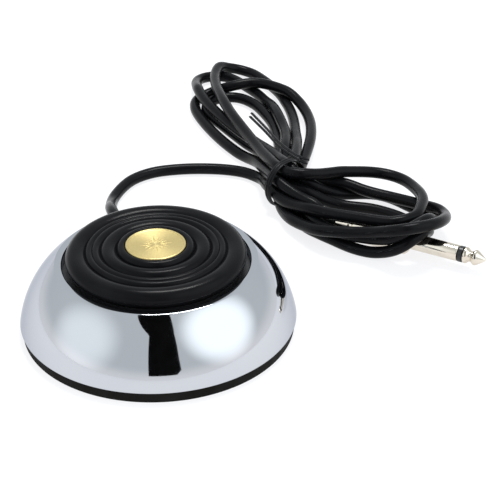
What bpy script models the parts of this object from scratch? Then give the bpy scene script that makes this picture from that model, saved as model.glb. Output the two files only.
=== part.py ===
"""Round foot switch pedal with a captive cord and a two-pole jack plug.

A plated bowl stands on a rubber pad. A round ribbed treadle floats in the bowl's opening on three springs
and pushes a lever switch inside. The cord leaves the back of the bowl, runs to a tied bundle with a far and
a near lobe, and ends in the plug, which lies under the near lobe.

Metres, +Z up, origin on the floor under the middle of the bowl, +Y towards the cord's exit.
"""

import math

import bmesh
import bpy
from mathutils import Matrix, Vector

MM = 0.001
GAP = 0.3 * MM  # between pieces that touch
CUTTER_TURN = math.radians(3.1)  # keeps a cutter's corners off the edges of what it cuts

# Bowl
SHELL_FOOT_R = 50.0 * MM
SHELL_FOOT_Z = 4.0 * MM
SHELL_TOP_Z = 27.5 * MM
SHELL_SHOULDER_R = 36.9 * MM
SHELL_OPENING_R = 33.6 * MM
SHELL_LIP_Z = 24.0 * MM
SHELL_WALL = 1.2 * MM
SHELL_ARC_R = 38.0 * MM
ROUND_STEPS = 48

# Base
PAD_R = 48.7 * MM
PAD_TOP_Z = 3.7 * MM
PLATE_R = 48.2 * MM
PLATE_Z = (4.0 * MM, 5.2 * MM)
LUG_RADIUS = 43.2 * MM
LUG_R = 3.3 * MM
LUG_TOP_Z = 14.2 * MM
LUG_ANGLES = (30.0, 150.0, 270.0)
SCREW_HEAD_R = 2.8 * MM
SCREW_SHANK_R = 1.5 * MM

# Frame, posts and springs
FRAME_Z = (5.5 * MM, 7.5 * MM)
FRAME_R = (17.0 * MM, 32.0 * MM)
POST_RADIUS = 24.0 * MM
POST_R = 1.8 * MM
POST_TOP_Z = 18.0 * MM
POST_ANGLES = (90.0, 210.0, 330.0)
SPRING_R = 5.2 * MM
SPRING_WIRE_R = 0.4 * MM
SPRING_TURNS = 5

# Treadle
TRAVEL = 2.5 * MM
TREAD_R = 32.3 * MM
TREAD_BOTTOM_Z = 26.5 * MM
CARRIER_FLANGE_R = 35.2 * MM
CARRIER_Z = (21.7 * MM, 23.7 * MM)
CARRIER_BOSS_R = 30.6 * MM
CARRIER_TOP_Z = 26.2 * MM
SLEEVE_R = (2.2 * MM, 4.0 * MM)
SLEEVE_BOTTOM_Z = 13.0 * MM
MEDALLION_R = 10.8 * MM
MEDALLION_Z = (33.3 * MM, 34.1 * MM)

# Switch: its lever hinges at one end of the case and the pin presses it past the middle
SWITCH_SIZE = (20.0 * MM, 6.4 * MM, 10.0 * MM)
SWITCH_FLOOR_Z = 5.7 * MM
LEVER_HINGE = Vector((-8.0 * MM, 0.0, 16.4 * MM))
LEVER_LENGTH = 17.0 * MM
LEVER_REST_ANGLE = math.radians(10.5)
LEVER_THICKNESS = 0.4 * MM
HINGE_PIN_R = 0.4 * MM
BUTTON_X = -3.5 * MM
PIN_X = 5.0 * MM
PIN_R = 2.5 * MM

# Cord exit
EXIT_ANGLE = 107.0
EXIT_Z = 10.0 * MM
CORD_D = 4.6 * MM
GLAND_END = 62.0 * MM  # distance of the gland's outer end from the pedal's axis

# Cord from the gland to the bundle: places that its centreline passes, in mm
LEAD_ROUTE = (
    (-18.3, 59.8, 10.0), (-19.8, 65.0, 9.7), (-21.0, 71.5, 8.0), (-21.5, 79.5, 4.6), (-21.4, 87.5, 2.4),
    (-19.0, 95.5, 2.4), (-14.3, 104.0, 2.4), (-6.5, 109.8, 2.4), (2.6, 112.2, 2.4), (13.2, 112.8, 2.4),
    (24.6, 111.4, 2.4), (32.4, 108.4, 2.5), (37.6, 104.0, 2.8),
)
LEAD_STEP = 9.0 * MM

# Bundle
TIE_CENTRE = Vector((48.3, 87.3, 9.8)) * MM
TIE_HEADING = math.radians(-38.0)
TIE_R = 9.2 * MM
TIE_WIRE_R = 0.6 * MM
BUNDLE_R = 8.2 * MM
NECK_LENGTH = 9.0 * MM
FAR_LOBE_HEIGHT = 13.8 * MM
NEAR_LOBE_HEIGHT = 17.2 * MM
FAR_LOBE_OUTLINE = (
    (47.0, 92.0), (30.0, 114.0), (14.0, 142.0), (7.5, 170.0), (9.5, 198.0), (24.0, 212.0),
    (42.0, 202.0), (56.0, 178.0), (63.0, 150.0), (61.0, 122.0), (56.0, 100.0),
)
NEAR_LOBE_OUTLINE = (
    (48.0, 78.0), (52.0, 66.0), (63.0, 50.0), (77.0, 37.0), (92.0, 31.0), (105.0, 41.0),
    (112.0, 61.0), (104.0, 80.0), (91.0, 95.0), (70.0, 93.0), (55.0, 91.0),
)

# Plug, a 6.35 mm two-pole jack lying on its barrel
PLUG_BARREL_R = 5.7 * MM
PLUG_COLLAR = Vector((94.4, 47.1, 5.7)) * MM
PLUG_HEADING = math.radians(-29.1)
PLUG_BARREL_LENGTH = 30.0 * MM
PLUG_SLEEVE_R = 3.175 * MM
PLUG_RING_AT = 21.0 * MM
PLUG_RING_WIDTH = 1.7 * MM
PLUG_TIP_AT = 31.6 * MM


def clear_scene():
    """Take every object out of the scene that the file opened with."""
    for obj in list(bpy.data.objects):
        bpy.data.objects.remove(obj, do_unlink=True)


clear_scene()
PEDAL = bpy.data.collections.new("foot_pedal")
CUTTERS = bpy.data.collections.new("cutters")
for collection in (PEDAL, CUTTERS):
    bpy.context.scene.collection.children.link(collection)


def material(name, colour, roughness, metallic=0.0):
    made = bpy.data.materials.new(name)
    made.use_nodes = True
    shader = made.node_tree.nodes["Principled BSDF"]
    shader.inputs["Base Color"].default_value = (*colour, 1.0)
    shader.inputs["Roughness"].default_value = roughness
    shader.inputs["Metallic"].default_value = metallic
    return made


CHROME = material("chrome", (0.86, 0.87, 0.88), 0.05, 1.0)
STEEL = material("zinc_plated_steel", (0.62, 0.63, 0.65), 0.35, 1.0)
NICKEL = material("nickel", (0.80, 0.76, 0.70), 0.12, 1.0)
BRASS = material("brass", (0.83, 0.70, 0.38), 0.28, 1.0)
BLACK_PLASTIC = material("black_plastic", (0.018, 0.018, 0.020), 0.38)
BLACK_RUBBER = material("black_rubber", (0.020, 0.020, 0.021), 0.62)
CORD_BLACK = material("cord_black", (0.014, 0.014, 0.015), 0.42)
WIRE_RED = material("wire_red", (0.45, 0.03, 0.03), 0.45)


def place(obj, surface, cutter=False):
    """Give an object its material and its collection. A cutter is drawn as a wire and left out of renders."""
    if cutter:
        CUTTERS.objects.link(obj)
        obj.hide_render = True
        obj.display_type = "WIRE"
    else:
        PEDAL.objects.link(obj)
        obj.data.materials.append(surface)
    return obj


def mesh_object(name, bm, surface, location=(0, 0, 0), rotation=(0, 0, 0), cutter=False):
    bmesh.ops.recalc_face_normals(bm, faces=bm.faces)
    mesh = bpy.data.meshes.new(name)
    bm.to_mesh(mesh)
    bm.free()
    obj = place(bpy.data.objects.new(name, mesh), surface, cutter)
    obj.location = location
    obj.rotation_euler = rotation
    return obj


def smooth(obj, angle=35.0):
    obj.data.shade_smooth()
    obj.data.set_sharp_from_angle(angle=math.radians(angle))


def cylinder(name, radius, z_low, z_high, surface=None, at=(0, 0), sides=20, cutter=False):
    """An upright cylinder between two heights."""
    bm = bmesh.new()
    bmesh.ops.create_cone(
        bm, cap_ends=True, segments=sides, radius1=radius, radius2=radius, depth=z_high - z_low
    )
    middle = (at[0], at[1], (z_low + z_high) / 2)
    obj = mesh_object(name, bm, surface, middle, (0, 0, CUTTER_TURN if cutter else 0.0), cutter)
    smooth(obj)
    return obj


def box(name, low, high, surface=None, rounded=0.0, cutter=False):
    """A box between two corners, with rounded edges where asked."""
    low, high = Vector(low), Vector(high)
    bm = bmesh.new()
    bmesh.ops.create_cube(bm, size=1.0)
    bmesh.ops.scale(bm, vec=high - low, verts=bm.verts)
    obj = mesh_object(name, bm, surface, (low + high) / 2, cutter=cutter)
    if rounded:
        bevel = obj.modifiers.new("rounded", "BEVEL")
        bevel.width = rounded
        bevel.segments = 2
    return obj


def turned(name, profile, surface=None, closed=False, steps=ROUND_STEPS, matrix=None, cutter=False):
    """Turn a profile of (radius, height) points about the local Z axis.

    A solid's profile starts and ends on the axis. A ring's is closed. Both run down the outer side.
    """
    mesh = bpy.data.meshes.new(name)
    points = [(r, 0.0, z) for r, z in profile]
    edges = [(i, i + 1) for i in range(len(points) - 1)]
    if closed:
        edges.append((len(points) - 1, 0))
    mesh.from_pydata(points, edges, [])
    obj = place(bpy.data.objects.new(name, mesh), surface, cutter)
    screw = obj.modifiers.new("turned", "SCREW")
    screw.axis = "Z"
    screw.angle = 2 * math.pi
    screw.steps = steps
    screw.render_steps = steps
    screw.use_merge_vertices = True
    screw.merge_threshold = 1e-6
    screw.use_smooth_shade = True
    if matrix is not None:
        obj.matrix_world = matrix
    return obj


def combine(obj, other, operation="DIFFERENCE"):
    boolean = obj.modifiers.new(other.name, "BOOLEAN")
    boolean.operation = operation
    boolean.solver = "EXACT"
    boolean.object = other


def on_circle(radius, degrees):
    return radius * math.cos(math.radians(degrees)), radius * math.sin(math.radians(degrees))


def arc(centre, radius, start, end, count):
    """Points of an arc in the profile plane, angles in degrees from the outward direction."""
    step = (end - start) / (count - 1)
    turns = [math.radians(start + step * i) for i in range(count)]
    return [(centre[0] + radius * math.cos(a), centre[1] + radius * math.sin(a)) for a in turns]


def flank(inset, count):
    """The bowl's outer flank from its shoulder down to its foot, as an arc, moved in by the given inset."""
    foot = Vector((SHELL_FOOT_R, SHELL_FOOT_Z))
    top = Vector((SHELL_SHOULDER_R, SHELL_TOP_Z - 0.6 * MM))
    chord = foot - top
    middle = (foot + top) / 2
    inward = Vector((chord.y, -chord.x)).normalized()
    centre = middle + inward * math.sqrt(SHELL_ARC_R**2 - (chord.length / 2) ** 2)
    start = math.degrees(math.atan2(top.y - centre.y, top.x - centre.x))
    end = math.degrees(math.atan2(foot.y - centre.y, foot.x - centre.x))
    return arc(centre, SHELL_ARC_R - inset, start, end, count)


def tube(name, points, radius, surface, cyclic=False, resolution=2):
    """A round wire or cord through the points."""
    curve = bpy.data.curves.new(name, "CURVE")
    curve.dimensions = "3D"
    curve.bevel_depth = radius
    curve.bevel_resolution = resolution
    curve.use_fill_caps = True
    spline = curve.splines.new("POLY")
    spline.points.add(len(points) - 1)
    for point, co in zip(spline.points, points):
        point.co = (*co, 1.0)
    spline.use_cyclic_u = cyclic
    obj = bpy.data.objects.new(name, curve)
    return place(obj, surface)


def smooth_route(places, step):
    """Evenly spaced points on the smooth curve (Catmull-Rom) through the given places, in mm."""
    knots = [Vector(p) * MM for p in places]
    knots = [2 * knots[0] - knots[1], *knots, 2 * knots[-1] - knots[-2]]
    fine = []
    for a, b, c, d in zip(knots, knots[1:], knots[2:], knots[3:]):
        for i in range(12):
            t = i / 12
            fine.append(
                0.5 * (2 * b + (c - a) * t + (2 * a - 5 * b + 4 * c - d) * t**2 + (3 * b - a - 3 * c + d) * t**3)
            )
    fine.append(knots[-2])
    lengths = [0.0]
    for a, b in zip(fine, fine[1:]):
        lengths.append(lengths[-1] + (b - a).length)
    count = max(2, round(lengths[-1] / step))
    route = []
    j = 0
    for i in range(count + 1):
        target = lengths[-1] * i / count
        while j < len(fine) - 2 and lengths[j + 1] < target:
            j += 1
        share = (target - lengths[j]) / (lengths[j + 1] - lengths[j])
        route.append(fine[j].lerp(fine[j + 1], share))
    return route


def outline_solid(name, outline, height, surface):
    """A closed solid between the floor and a height, with a smooth outline through the points given in mm."""
    curve = bpy.data.curves.new(name, "CURVE")
    curve.dimensions = "2D"
    curve.fill_mode = "BOTH"
    curve.extrude = height / 2
    curve.resolution_u = 4
    spline = curve.splines.new("BEZIER")
    spline.bezier_points.add(len(outline) - 1)
    for point, (x, y) in zip(spline.bezier_points, outline):
        point.co = (x * MM, y * MM, 0.0)
        point.handle_left_type = "AUTO"
        point.handle_right_type = "AUTO"
    spline.use_cyclic_u = True
    guide = bpy.data.objects.new(name + "_outline", curve)
    guide.location.z = height / 2
    bpy.context.scene.collection.objects.link(guide)
    graph = bpy.context.evaluated_depsgraph_get()
    mesh = bpy.data.meshes.new_from_object(guide.evaluated_get(graph))
    bm = bmesh.new()
    bm.from_mesh(mesh)
    bmesh.ops.remove_doubles(bm, verts=bm.verts, dist=1e-6)
    bpy.data.meshes.remove(mesh)
    obj = mesh_object(name, bm, surface)
    obj.matrix_world = Matrix.Translation((0, 0, height / 2))
    bpy.data.objects.remove(guide, do_unlink=True)
    return obj


def shell_profile():
    """The bowl's wall: flank, shoulder, flat rim, and a lip turned down inside the opening."""
    edge = 0.6 * MM
    shoulder = arc((SHELL_SHOULDER_R - edge, SHELL_TOP_Z - edge), edge, 90, 20, 3)
    mouth = arc((SHELL_OPENING_R + edge, SHELL_TOP_Z - edge), edge, 180, 90, 3)
    inner = flank(SHELL_WALL, 6)
    return [
        *mouth,
        *shoulder,
        *flank(0.0, 9)[1:],
        *reversed(inner),
        (SHELL_OPENING_R + SHELL_WALL, SHELL_TOP_Z - SHELL_WALL),
        (SHELL_OPENING_R + SHELL_WALL, SHELL_LIP_Z),
        (SHELL_OPENING_R, SHELL_LIP_Z),
    ]


def exit_matrix(distance, height):
    """A frame at the cord's exit whose Z axis points out of the bowl."""
    x, y = on_circle(distance, EXIT_ANGLE)
    turn = Matrix.Rotation(math.radians(EXIT_ANGLE), 4, "Z") @ Matrix.Rotation(math.pi / 2, 4, "Y")
    return Matrix.Translation((x, y, height)) @ turn


def build_shell():
    shell = turned("outer_shell", shell_profile(), CHROME, closed=True)
    for i, angle in enumerate(LUG_ANGLES, 1):
        at = on_circle(LUG_RADIUS, angle)
        lug = cylinder(f"lug_{i}", LUG_R, PLATE_Z[1] + GAP, LUG_TOP_Z, at=at, sides=16, cutter=True)
        combine(shell, lug, "UNION")
        hole = cylinder(f"lug_hole_{i}", SCREW_SHANK_R + GAP, 0, LUG_TOP_Z - 2 * MM, at=at, sides=12, cutter=True)
        combine(shell, hole)
    bore = turned(
        "exit_bore",
        [(0, 6 * MM), (3.5 * MM, 6 * MM), (3.5 * MM, -6 * MM), (0, -6 * MM)],
        steps=20,
        matrix=exit_matrix(48 * MM, EXIT_Z),
        cutter=True,
    )
    combine(shell, bore)
    return shell


def build_base():
    edge = 0.4 * MM
    pad_profile = [(0, PAD_TOP_Z), *arc((PAD_R - edge, PAD_TOP_Z - edge), edge, 90, 0, 3)]
    pad_profile += [*arc((PAD_R - edge, edge), edge, 0, -90, 3), (0, 0)]
    pad = turned("base_pad", pad_profile, BLACK_RUBBER)
    plate = cylinder("base_plate", PLATE_R, *PLATE_Z, STEEL, sides=ROUND_STEPS)
    head_z = (1.9 * MM, PLATE_Z[0] - GAP)
    for i, angle in enumerate(LUG_ANGLES, 1):
        at = on_circle(LUG_RADIUS, angle)
        combine(pad, cylinder(f"pad_hole_{i}", SCREW_HEAD_R + 0.8 * MM, -1 * MM, 6 * MM, at=at, cutter=True))
        combine(plate, cylinder(f"plate_hole_{i}", SCREW_SHANK_R + GAP, 3 * MM, 7 * MM, at=at, sides=12, cutter=True))
        profile = [
            (0, head_z[0] + 0.9 * MM), (0.6 * MM, head_z[0] + 0.9 * MM), (0.9 * MM, head_z[0]),
            (SCREW_HEAD_R - 0.5 * MM, head_z[0]), (SCREW_HEAD_R, head_z[0] + 0.6 * MM), (SCREW_HEAD_R, head_z[1]),
            (SCREW_SHANK_R, head_z[1]), (SCREW_SHANK_R, LUG_TOP_Z - 3 * MM), (0, LUG_TOP_Z - 3 * MM),
        ]
        turned(
            f"base_screw_{i}", list(reversed(profile)), STEEL, steps=16, matrix=Matrix.Translation((*at, 0))
        )


def build_frame():
    """Moulded frame on the base plate, its two screws, the guide posts and the return springs."""
    low, high = FRAME_Z
    profile = [
        (FRAME_R[0], high), (FRAME_R[1], high), (FRAME_R[1], low), (FRAME_R[0], low),
    ]
    frame = turned("inner_frame", profile, BLACK_PLASTIC, closed=True)
    for i, angle in enumerate(POST_ANGLES, 1):
        at = on_circle(POST_RADIUS, angle)
        combine(frame, cylinder(f"post_hole_{i}", POST_R + GAP, low - MM, high + MM, at=at, sides=16, cutter=True))
        post = [
            (0, POST_TOP_Z), (POST_R - 0.5 * MM, POST_TOP_Z), (POST_R, POST_TOP_Z - 0.8 * MM),
            (POST_R, low), (0, low),
        ]
        turned(f"guide_post_{i}", post, STEEL, steps=16, matrix=Matrix.Translation((*at, 0)))
        build_spring(i, at)
    for i, angle in enumerate((30.0, 270.0), 1):
        at = on_circle(POST_RADIUS, angle)
        combine(frame, cylinder(f"frame_hole_{i}", 1.3 * MM, low - MM, high + MM, at=at, sides=12, cutter=True))
        screw = [
            (0, high + 1.6 * MM), (1.6 * MM, high + 1.6 * MM), (2.1 * MM, high + 1.0 * MM),
            (2.1 * MM, high + GAP), (1.0 * MM, high + GAP), (1.0 * MM, low), (0, low),
        ]
        turned(f"frame_screw_{i}", screw, STEEL, steps=16, matrix=Matrix.Translation((*at, 0)))


def build_spring(number, at):
    """A compression spring between the frame and the carrier, with its end turns closed."""
    foot = FRAME_Z[1] + SPRING_WIRE_R + GAP
    head = CARRIER_Z[0] - SPRING_WIRE_R - GAP
    per_turn = 10
    count = SPRING_TURNS * per_turn
    points = []
    for i in range(count + 1):
        share = i / count
        rise = share - 0.085 * math.sin(2 * math.pi * share)
        angle = 2 * math.pi * i / per_turn
        points.append((
            at[0] + SPRING_R * math.cos(angle), at[1] + SPRING_R * math.sin(angle), foot + (head - foot) * rise,
        ))
    tube(f"return_spring_{number}", points, SPRING_WIRE_R, STEEL, resolution=1)


def tread_profile():
    """The treadle's ribbed face, from the medallion's seat out to the broad rounded edge."""
    seat = MEDALLION_R + GAP
    floor_z = MEDALLION_Z[0] - GAP
    ribs = [  # radius and height of each crest and valley, in mm
        (11.1, 34.0), (12.4, 34.0), (13.3, 33.6), (14.1, 32.4), (15.1, 33.0), (16.8, 33.5), (18.6, 33.2),
        (19.6, 32.1), (20.6, 32.6), (21.6, 33.0), (22.5, 32.5), (23.3, 32.7), (24.3, 32.7), (25.2, 31.7),
        (26.2, 32.2), (27.6, 32.7), (29.2, 32.7), (30.7, 32.1), (31.8, 31.0), (32.3, 29.6), (32.3, 28.4),
        (31.7, 27.4),
    ]
    face = [(r * MM, z * MM) for r, z in ribs]
    return [(0, floor_z), (seat, floor_z), *face, (31.2 * MM, TREAD_BOTTOM_Z), (0, TREAD_BOTTOM_Z)]


def build_treadle():
    axis = bpy.data.objects.new("treadle_press_axis", None)
    axis.location.z = CARRIER_Z[1]
    PEDAL.objects.link(axis)
    pieces = [turned("tread_pad", tread_profile(), BLACK_RUBBER)]
    bevel = 0.2 * MM
    medal = [
        (0, MEDALLION_Z[1]), (MEDALLION_R - bevel, MEDALLION_Z[1]), (MEDALLION_R, MEDALLION_Z[1] - bevel),
        (MEDALLION_R, MEDALLION_Z[0]), (0, MEDALLION_Z[0]),
    ]
    pieces.append(turned("medallion", medal, BRASS))
    carrier_profile = [
        (0, CARRIER_TOP_Z), (CARRIER_BOSS_R, CARRIER_TOP_Z), (CARRIER_BOSS_R, CARRIER_Z[1]),
        (CARRIER_FLANGE_R, CARRIER_Z[1]), (CARRIER_FLANGE_R, CARRIER_Z[0]), (0, CARRIER_Z[0]),
    ]
    carrier = turned("tread_carrier", carrier_profile, BLACK_PLASTIC)
    for i, angle in enumerate(POST_ANGLES, 1):
        at = on_circle(POST_RADIUS, angle)
        sleeve = cylinder(f"sleeve_{i}", SLEEVE_R[1], SLEEVE_BOTTOM_Z, CARRIER_Z[0] + MM, at=at, sides=16, cutter=True)
        combine(carrier, sleeve, "UNION")
        bore = cylinder(f"sleeve_bore_{i}", SLEEVE_R[0], 10 * MM, CARRIER_Z[0] - 0.5 * MM, at=at, sides=16, cutter=True)
        combine(carrier, bore)
        screw_at = on_circle(POST_RADIUS * 0.75, angle + 60)
        hole = cylinder(f"carrier_hole_{i}", 1.4 * MM, 20 * MM, 28 * MM, at=screw_at, sides=12, cutter=True)
        combine(carrier, hole)
        pad_hole = cylinder(f"tread_hole_{i}", 1.4 * MM, 20 * MM, 30.5 * MM, at=screw_at, sides=12, cutter=True)
        combine(pieces[0], pad_hole)
        low = CARRIER_Z[0] - GAP
        screw = [
            (0, 30 * MM), (1.1 * MM, 30 * MM), (1.1 * MM, low), (2.4 * MM, low), (2.4 * MM, low - 0.9 * MM),
            (1.9 * MM, low - 1.3 * MM), (0, low - 1.3 * MM),
        ]
        pieces.append(
            turned(f"tread_screw_{i}", screw, STEEL, steps=16, matrix=Matrix.Translation((*screw_at, 0)))
        )
    pieces.append(carrier)
    contact_z = lever_height(PIN_X) + LEVER_THICKNESS / 2 + GAP
    pin_profile = [
        (0, CARRIER_Z[0] - GAP), (PIN_R, CARRIER_Z[0] - GAP), (PIN_R, contact_z + 0.8 * MM),
        (PIN_R - 1.1 * MM, contact_z), (0, contact_z),
    ]
    pieces.append(
        turned("actuator_pin", pin_profile, BLACK_PLASTIC, steps=20, matrix=Matrix.Translation((PIN_X, 0, 0)))
    )
    bpy.context.view_layer.update()
    for piece in pieces:
        piece.parent = axis
        piece.matrix_parent_inverse = axis.matrix_world.inverted()


def across(x, z):
    """A frame at a place in the switch's middle plane whose Z axis runs across the switch, along +Y."""
    return Matrix.Translation((x, 0, z)) @ Matrix.Rotation(-math.pi / 2, 4, "X")


def lever_height(x):
    """Height of the lever's middle at rest, at a distance along the switch."""
    return LEVER_HINGE.z + (x - LEVER_HINGE.x) * math.tan(LEVER_REST_ANGLE)


def build_switch():
    length, width, height = SWITCH_SIZE
    top = SWITCH_FLOOR_Z + height
    case = box(
        "switch_case", (-length / 2, -width / 2, SWITCH_FLOOR_Z), (length / 2, width / 2, top), BLACK_PLASTIC
    )
    well = box(
        "button_well", (BUTTON_X - 1.3 * MM, -1.6 * MM, top - 3.2 * MM), (BUTTON_X + 1.3 * MM, 1.6 * MM, top + MM),
        cutter=True,
    )
    combine(case, well)
    hinge_bore = turned(
        "hinge_bore",
        [(0, 5 * MM), (HINGE_PIN_R + 0.2 * MM, 5 * MM), (HINGE_PIN_R + 0.2 * MM, -5 * MM), (0, -5 * MM)],
        steps=12, matrix=across(LEVER_HINGE.x, LEVER_HINGE.z), cutter=True,
    )
    for side in (-1, 1):
        near, far = sorted((side * 2.3 * MM, side * 3.2 * MM))
        ear = box(
            f"hinge_ear_{side}", (LEVER_HINGE.x - MM, near, top - 0.5 * MM), (LEVER_HINGE.x + MM, far, top + 1.6 * MM),
            cutter=True,
        )
        combine(case, ear, "UNION")
    combine(case, hinge_bore)
    button_top = lever_height(BUTTON_X) - LEVER_THICKNESS / 2 - GAP
    box(
        "switch_button", (BUTTON_X - 0.9 * MM, -1.2 * MM, top - 1.7 * MM), (BUTTON_X + 0.9 * MM, 1.2 * MM, button_top),
        WIRE_RED,
    )
    bracket_y = width / 2 + GAP
    wall = 1.6 * MM
    bracket = box("switch_bracket", (-9 * MM, bracket_y, 5.5 * MM), (9 * MM, bracket_y + wall, 14.5 * MM), STEEL)
    foot = box("bracket_foot", (-9 * MM, bracket_y, 5.5 * MM), (9 * MM, bracket_y + 8 * MM, 6.9 * MM), cutter=True)
    combine(bracket, foot, "UNION")
    for i, x in enumerate((-4.8 * MM, 5.2 * MM), 1):
        sideways = across(x, 9.0 * MM)
        bore = turned(
            f"screw_bore_{i}", [(0, 12 * MM), (1.3 * MM, 12 * MM), (1.3 * MM, -6 * MM), (0, -6 * MM)],
            steps=12, matrix=sideways, cutter=True,
        )
        combine(case, bore)
        combine(bracket, bore)
        start = -width / 2 - GAP
        profile = [
            (0, bracket_y + 3 * MM), (1.0 * MM, bracket_y + 3 * MM), (1.0 * MM, start), (1.9 * MM, start),
            (1.9 * MM, start - 0.8 * MM), (1.4 * MM, start - 1.3 * MM), (0, start - 1.3 * MM),
        ]
        turned(f"switch_screw_{i}", profile, STEEL, steps=14, matrix=sideways)
    foot_hole = cylinder("bracket_hole", 1.3 * MM, 4 * MM, 9 * MM, at=(0, 8.2 * MM), sides=12, cutter=True)
    combine(bracket, foot_hole)
    profile = [
        (0, 8.5 * MM), (1.6 * MM, 8.5 * MM), (2.0 * MM, 8.0 * MM), (2.0 * MM, 7.2 * MM), (1.0 * MM, 7.2 * MM),
        (1.0 * MM, 5.5 * MM), (0, 5.5 * MM),
    ]
    turned("bracket_screw", profile, STEEL, steps=14, matrix=Matrix.Translation((0, 8.2 * MM, 0)))
    for i, z in enumerate((8.0 * MM, 12.2 * MM), 1):
        box(
            f"switch_terminal_{i}", (-length / 2 - 4.4 * MM, -1.6 * MM, z - 0.25 * MM),
            (-length / 2 - GAP, 1.6 * MM, z + 0.25 * MM), BRASS,
        )
    build_lever()


def build_lever():
    """The switch's lever: a thin blade with its free end turned up, on the hinge at one end of the case."""
    half = 2.0 * MM
    bm = bmesh.new()
    bmesh.ops.create_cube(bm, size=1.0)
    bmesh.ops.scale(bm, vec=(LEVER_LENGTH, 2 * half, LEVER_THICKNESS), verts=bm.verts)
    bmesh.ops.translate(bm, vec=(LEVER_LENGTH / 2, 0, 0), verts=bm.verts)
    lever = mesh_object("switch_lever", bm, STEEL, LEVER_HINGE, (0, -LEVER_REST_ANGLE, 0))
    bevel = lever.modifiers.new("rounded", "BEVEL")
    bevel.width = 0.1 * MM
    bevel.segments = 1
    reach = 3.1 * MM
    pin = turned(
        "hinge_pin", [(0, reach), (HINGE_PIN_R, reach), (HINGE_PIN_R, -reach), (0, -reach)], steps=12,
        matrix=across(LEVER_HINGE.x, LEVER_HINGE.z), cutter=True,
    )
    combine(lever, pin, "UNION")


def build_cord_entry():
    """Gland in the bowl's wall, the cord's tail inside, its clamp, and the two wires to the switch."""
    profile = [  # radius and distance from the pedal's axis, in mm
        (2.6, 42.0), (4.2, 42.0), (4.2, 44.8), (3.2, 45.0), (3.2, 50.2), (5.1, 50.5), (5.1, 51.8), (4.4, 52.4),
        (4.4, 54.2), (3.9, 54.6), (4.0, 56.2), (3.5, 56.6), (3.6, 58.2), (3.2, 58.6), (3.2, 60.2), (3.0, 60.6),
        (3.0, GLAND_END / MM), (2.6, GLAND_END / MM),
    ]
    ring = [(r * MM, d * MM) for r, d in reversed(profile)]
    turned("cord_gland", ring, BLACK_RUBBER, closed=True, steps=20, matrix=exit_matrix(0.0, EXIT_Z))
    out = Vector((*on_circle(1.0, EXIT_ANGLE), 0.0))
    tail = [out * d * MM + Vector((0, 0, EXIT_Z)) for d in (34.0, 41.0, 48.0, 55.0, 62.0)]
    tube("cord_tail", tail, CORD_D / 2, CORD_BLACK)
    side = Vector((-out.y, out.x, 0.0))
    clamp_at = out * 38.0 * MM
    clamp = box(
        "cord_clamp", (-1.6 * MM, -8.0 * MM, PLATE_Z[1] + GAP), (1.6 * MM, 8.0 * MM, 14.2 * MM), BLACK_PLASTIC,
        rounded=0.4 * MM,
    )
    turn = Matrix.Rotation(math.radians(EXIT_ANGLE), 4, "Z")
    clamp.matrix_world = Matrix.Translation((clamp_at.x, clamp_at.y, clamp.location.z)) @ turn
    channel = turned(
        "clamp_channel", [(0, 46 * MM), (2.6 * MM, 46 * MM), (2.6 * MM, 30 * MM), (0, 30 * MM)], steps=16,
        matrix=exit_matrix(0.0, EXIT_Z), cutter=True,
    )
    combine(clamp, channel)
    for i, offset in enumerate((-5.6 * MM, 5.6 * MM), 1):
        at = clamp_at + side * offset
        hole = cylinder(f"clamp_hole_{i}", 1.3 * MM, 4 * MM, 16 * MM, at=at[:2], sides=12, cutter=True)
        combine(clamp, hole)
        profile = [
            (0, 15.8 * MM), (1.0 * MM, 15.8 * MM), (1.5 * MM, 15.2 * MM), (1.5 * MM, 14.5 * MM),
            (1.0 * MM, 14.5 * MM), (1.0 * MM, 5.5 * MM), (0, 5.5 * MM),
        ]
        turned(f"clamp_screw_{i}", profile, STEEL, steps=14, matrix=Matrix.Translation((at.x, at.y, 0)))
    wires = (
        ((-9.1, 32.1, 10.0), (-8.9, 26.9, 10.0), (-12.5, 19.0, 10.0), (-16.5, 10.0, 9.2), (-16.6, 2.0, 8.0), (-15.1, 0.0, 8.0)),
        ((-10.5, 31.7, 10.2), (-11.5, 26.9, 11.2), (-15.5, 19.5, 12.6), (-18.4, 10.5, 12.8), (-17.4, 2.5, 12.2), (-15.1, 0.0, 12.2)),
    )
    for i, (places, surface) in enumerate(zip(wires, (WIRE_RED, BLACK_PLASTIC)), 1):
        tube(f"switch_wire_{i}", smooth_route(places, 2.5 * MM), 0.5 * MM, surface, resolution=1)


def tie_matrix():
    """A frame at the tie whose Z axis runs along the bundle, towards the near lobe."""
    turn = Matrix.Rotation(TIE_HEADING, 4, "Z") @ Matrix.Rotation(math.pi / 2, 4, "Y")
    return Matrix.Translation(TIE_CENTRE) @ turn


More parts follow.
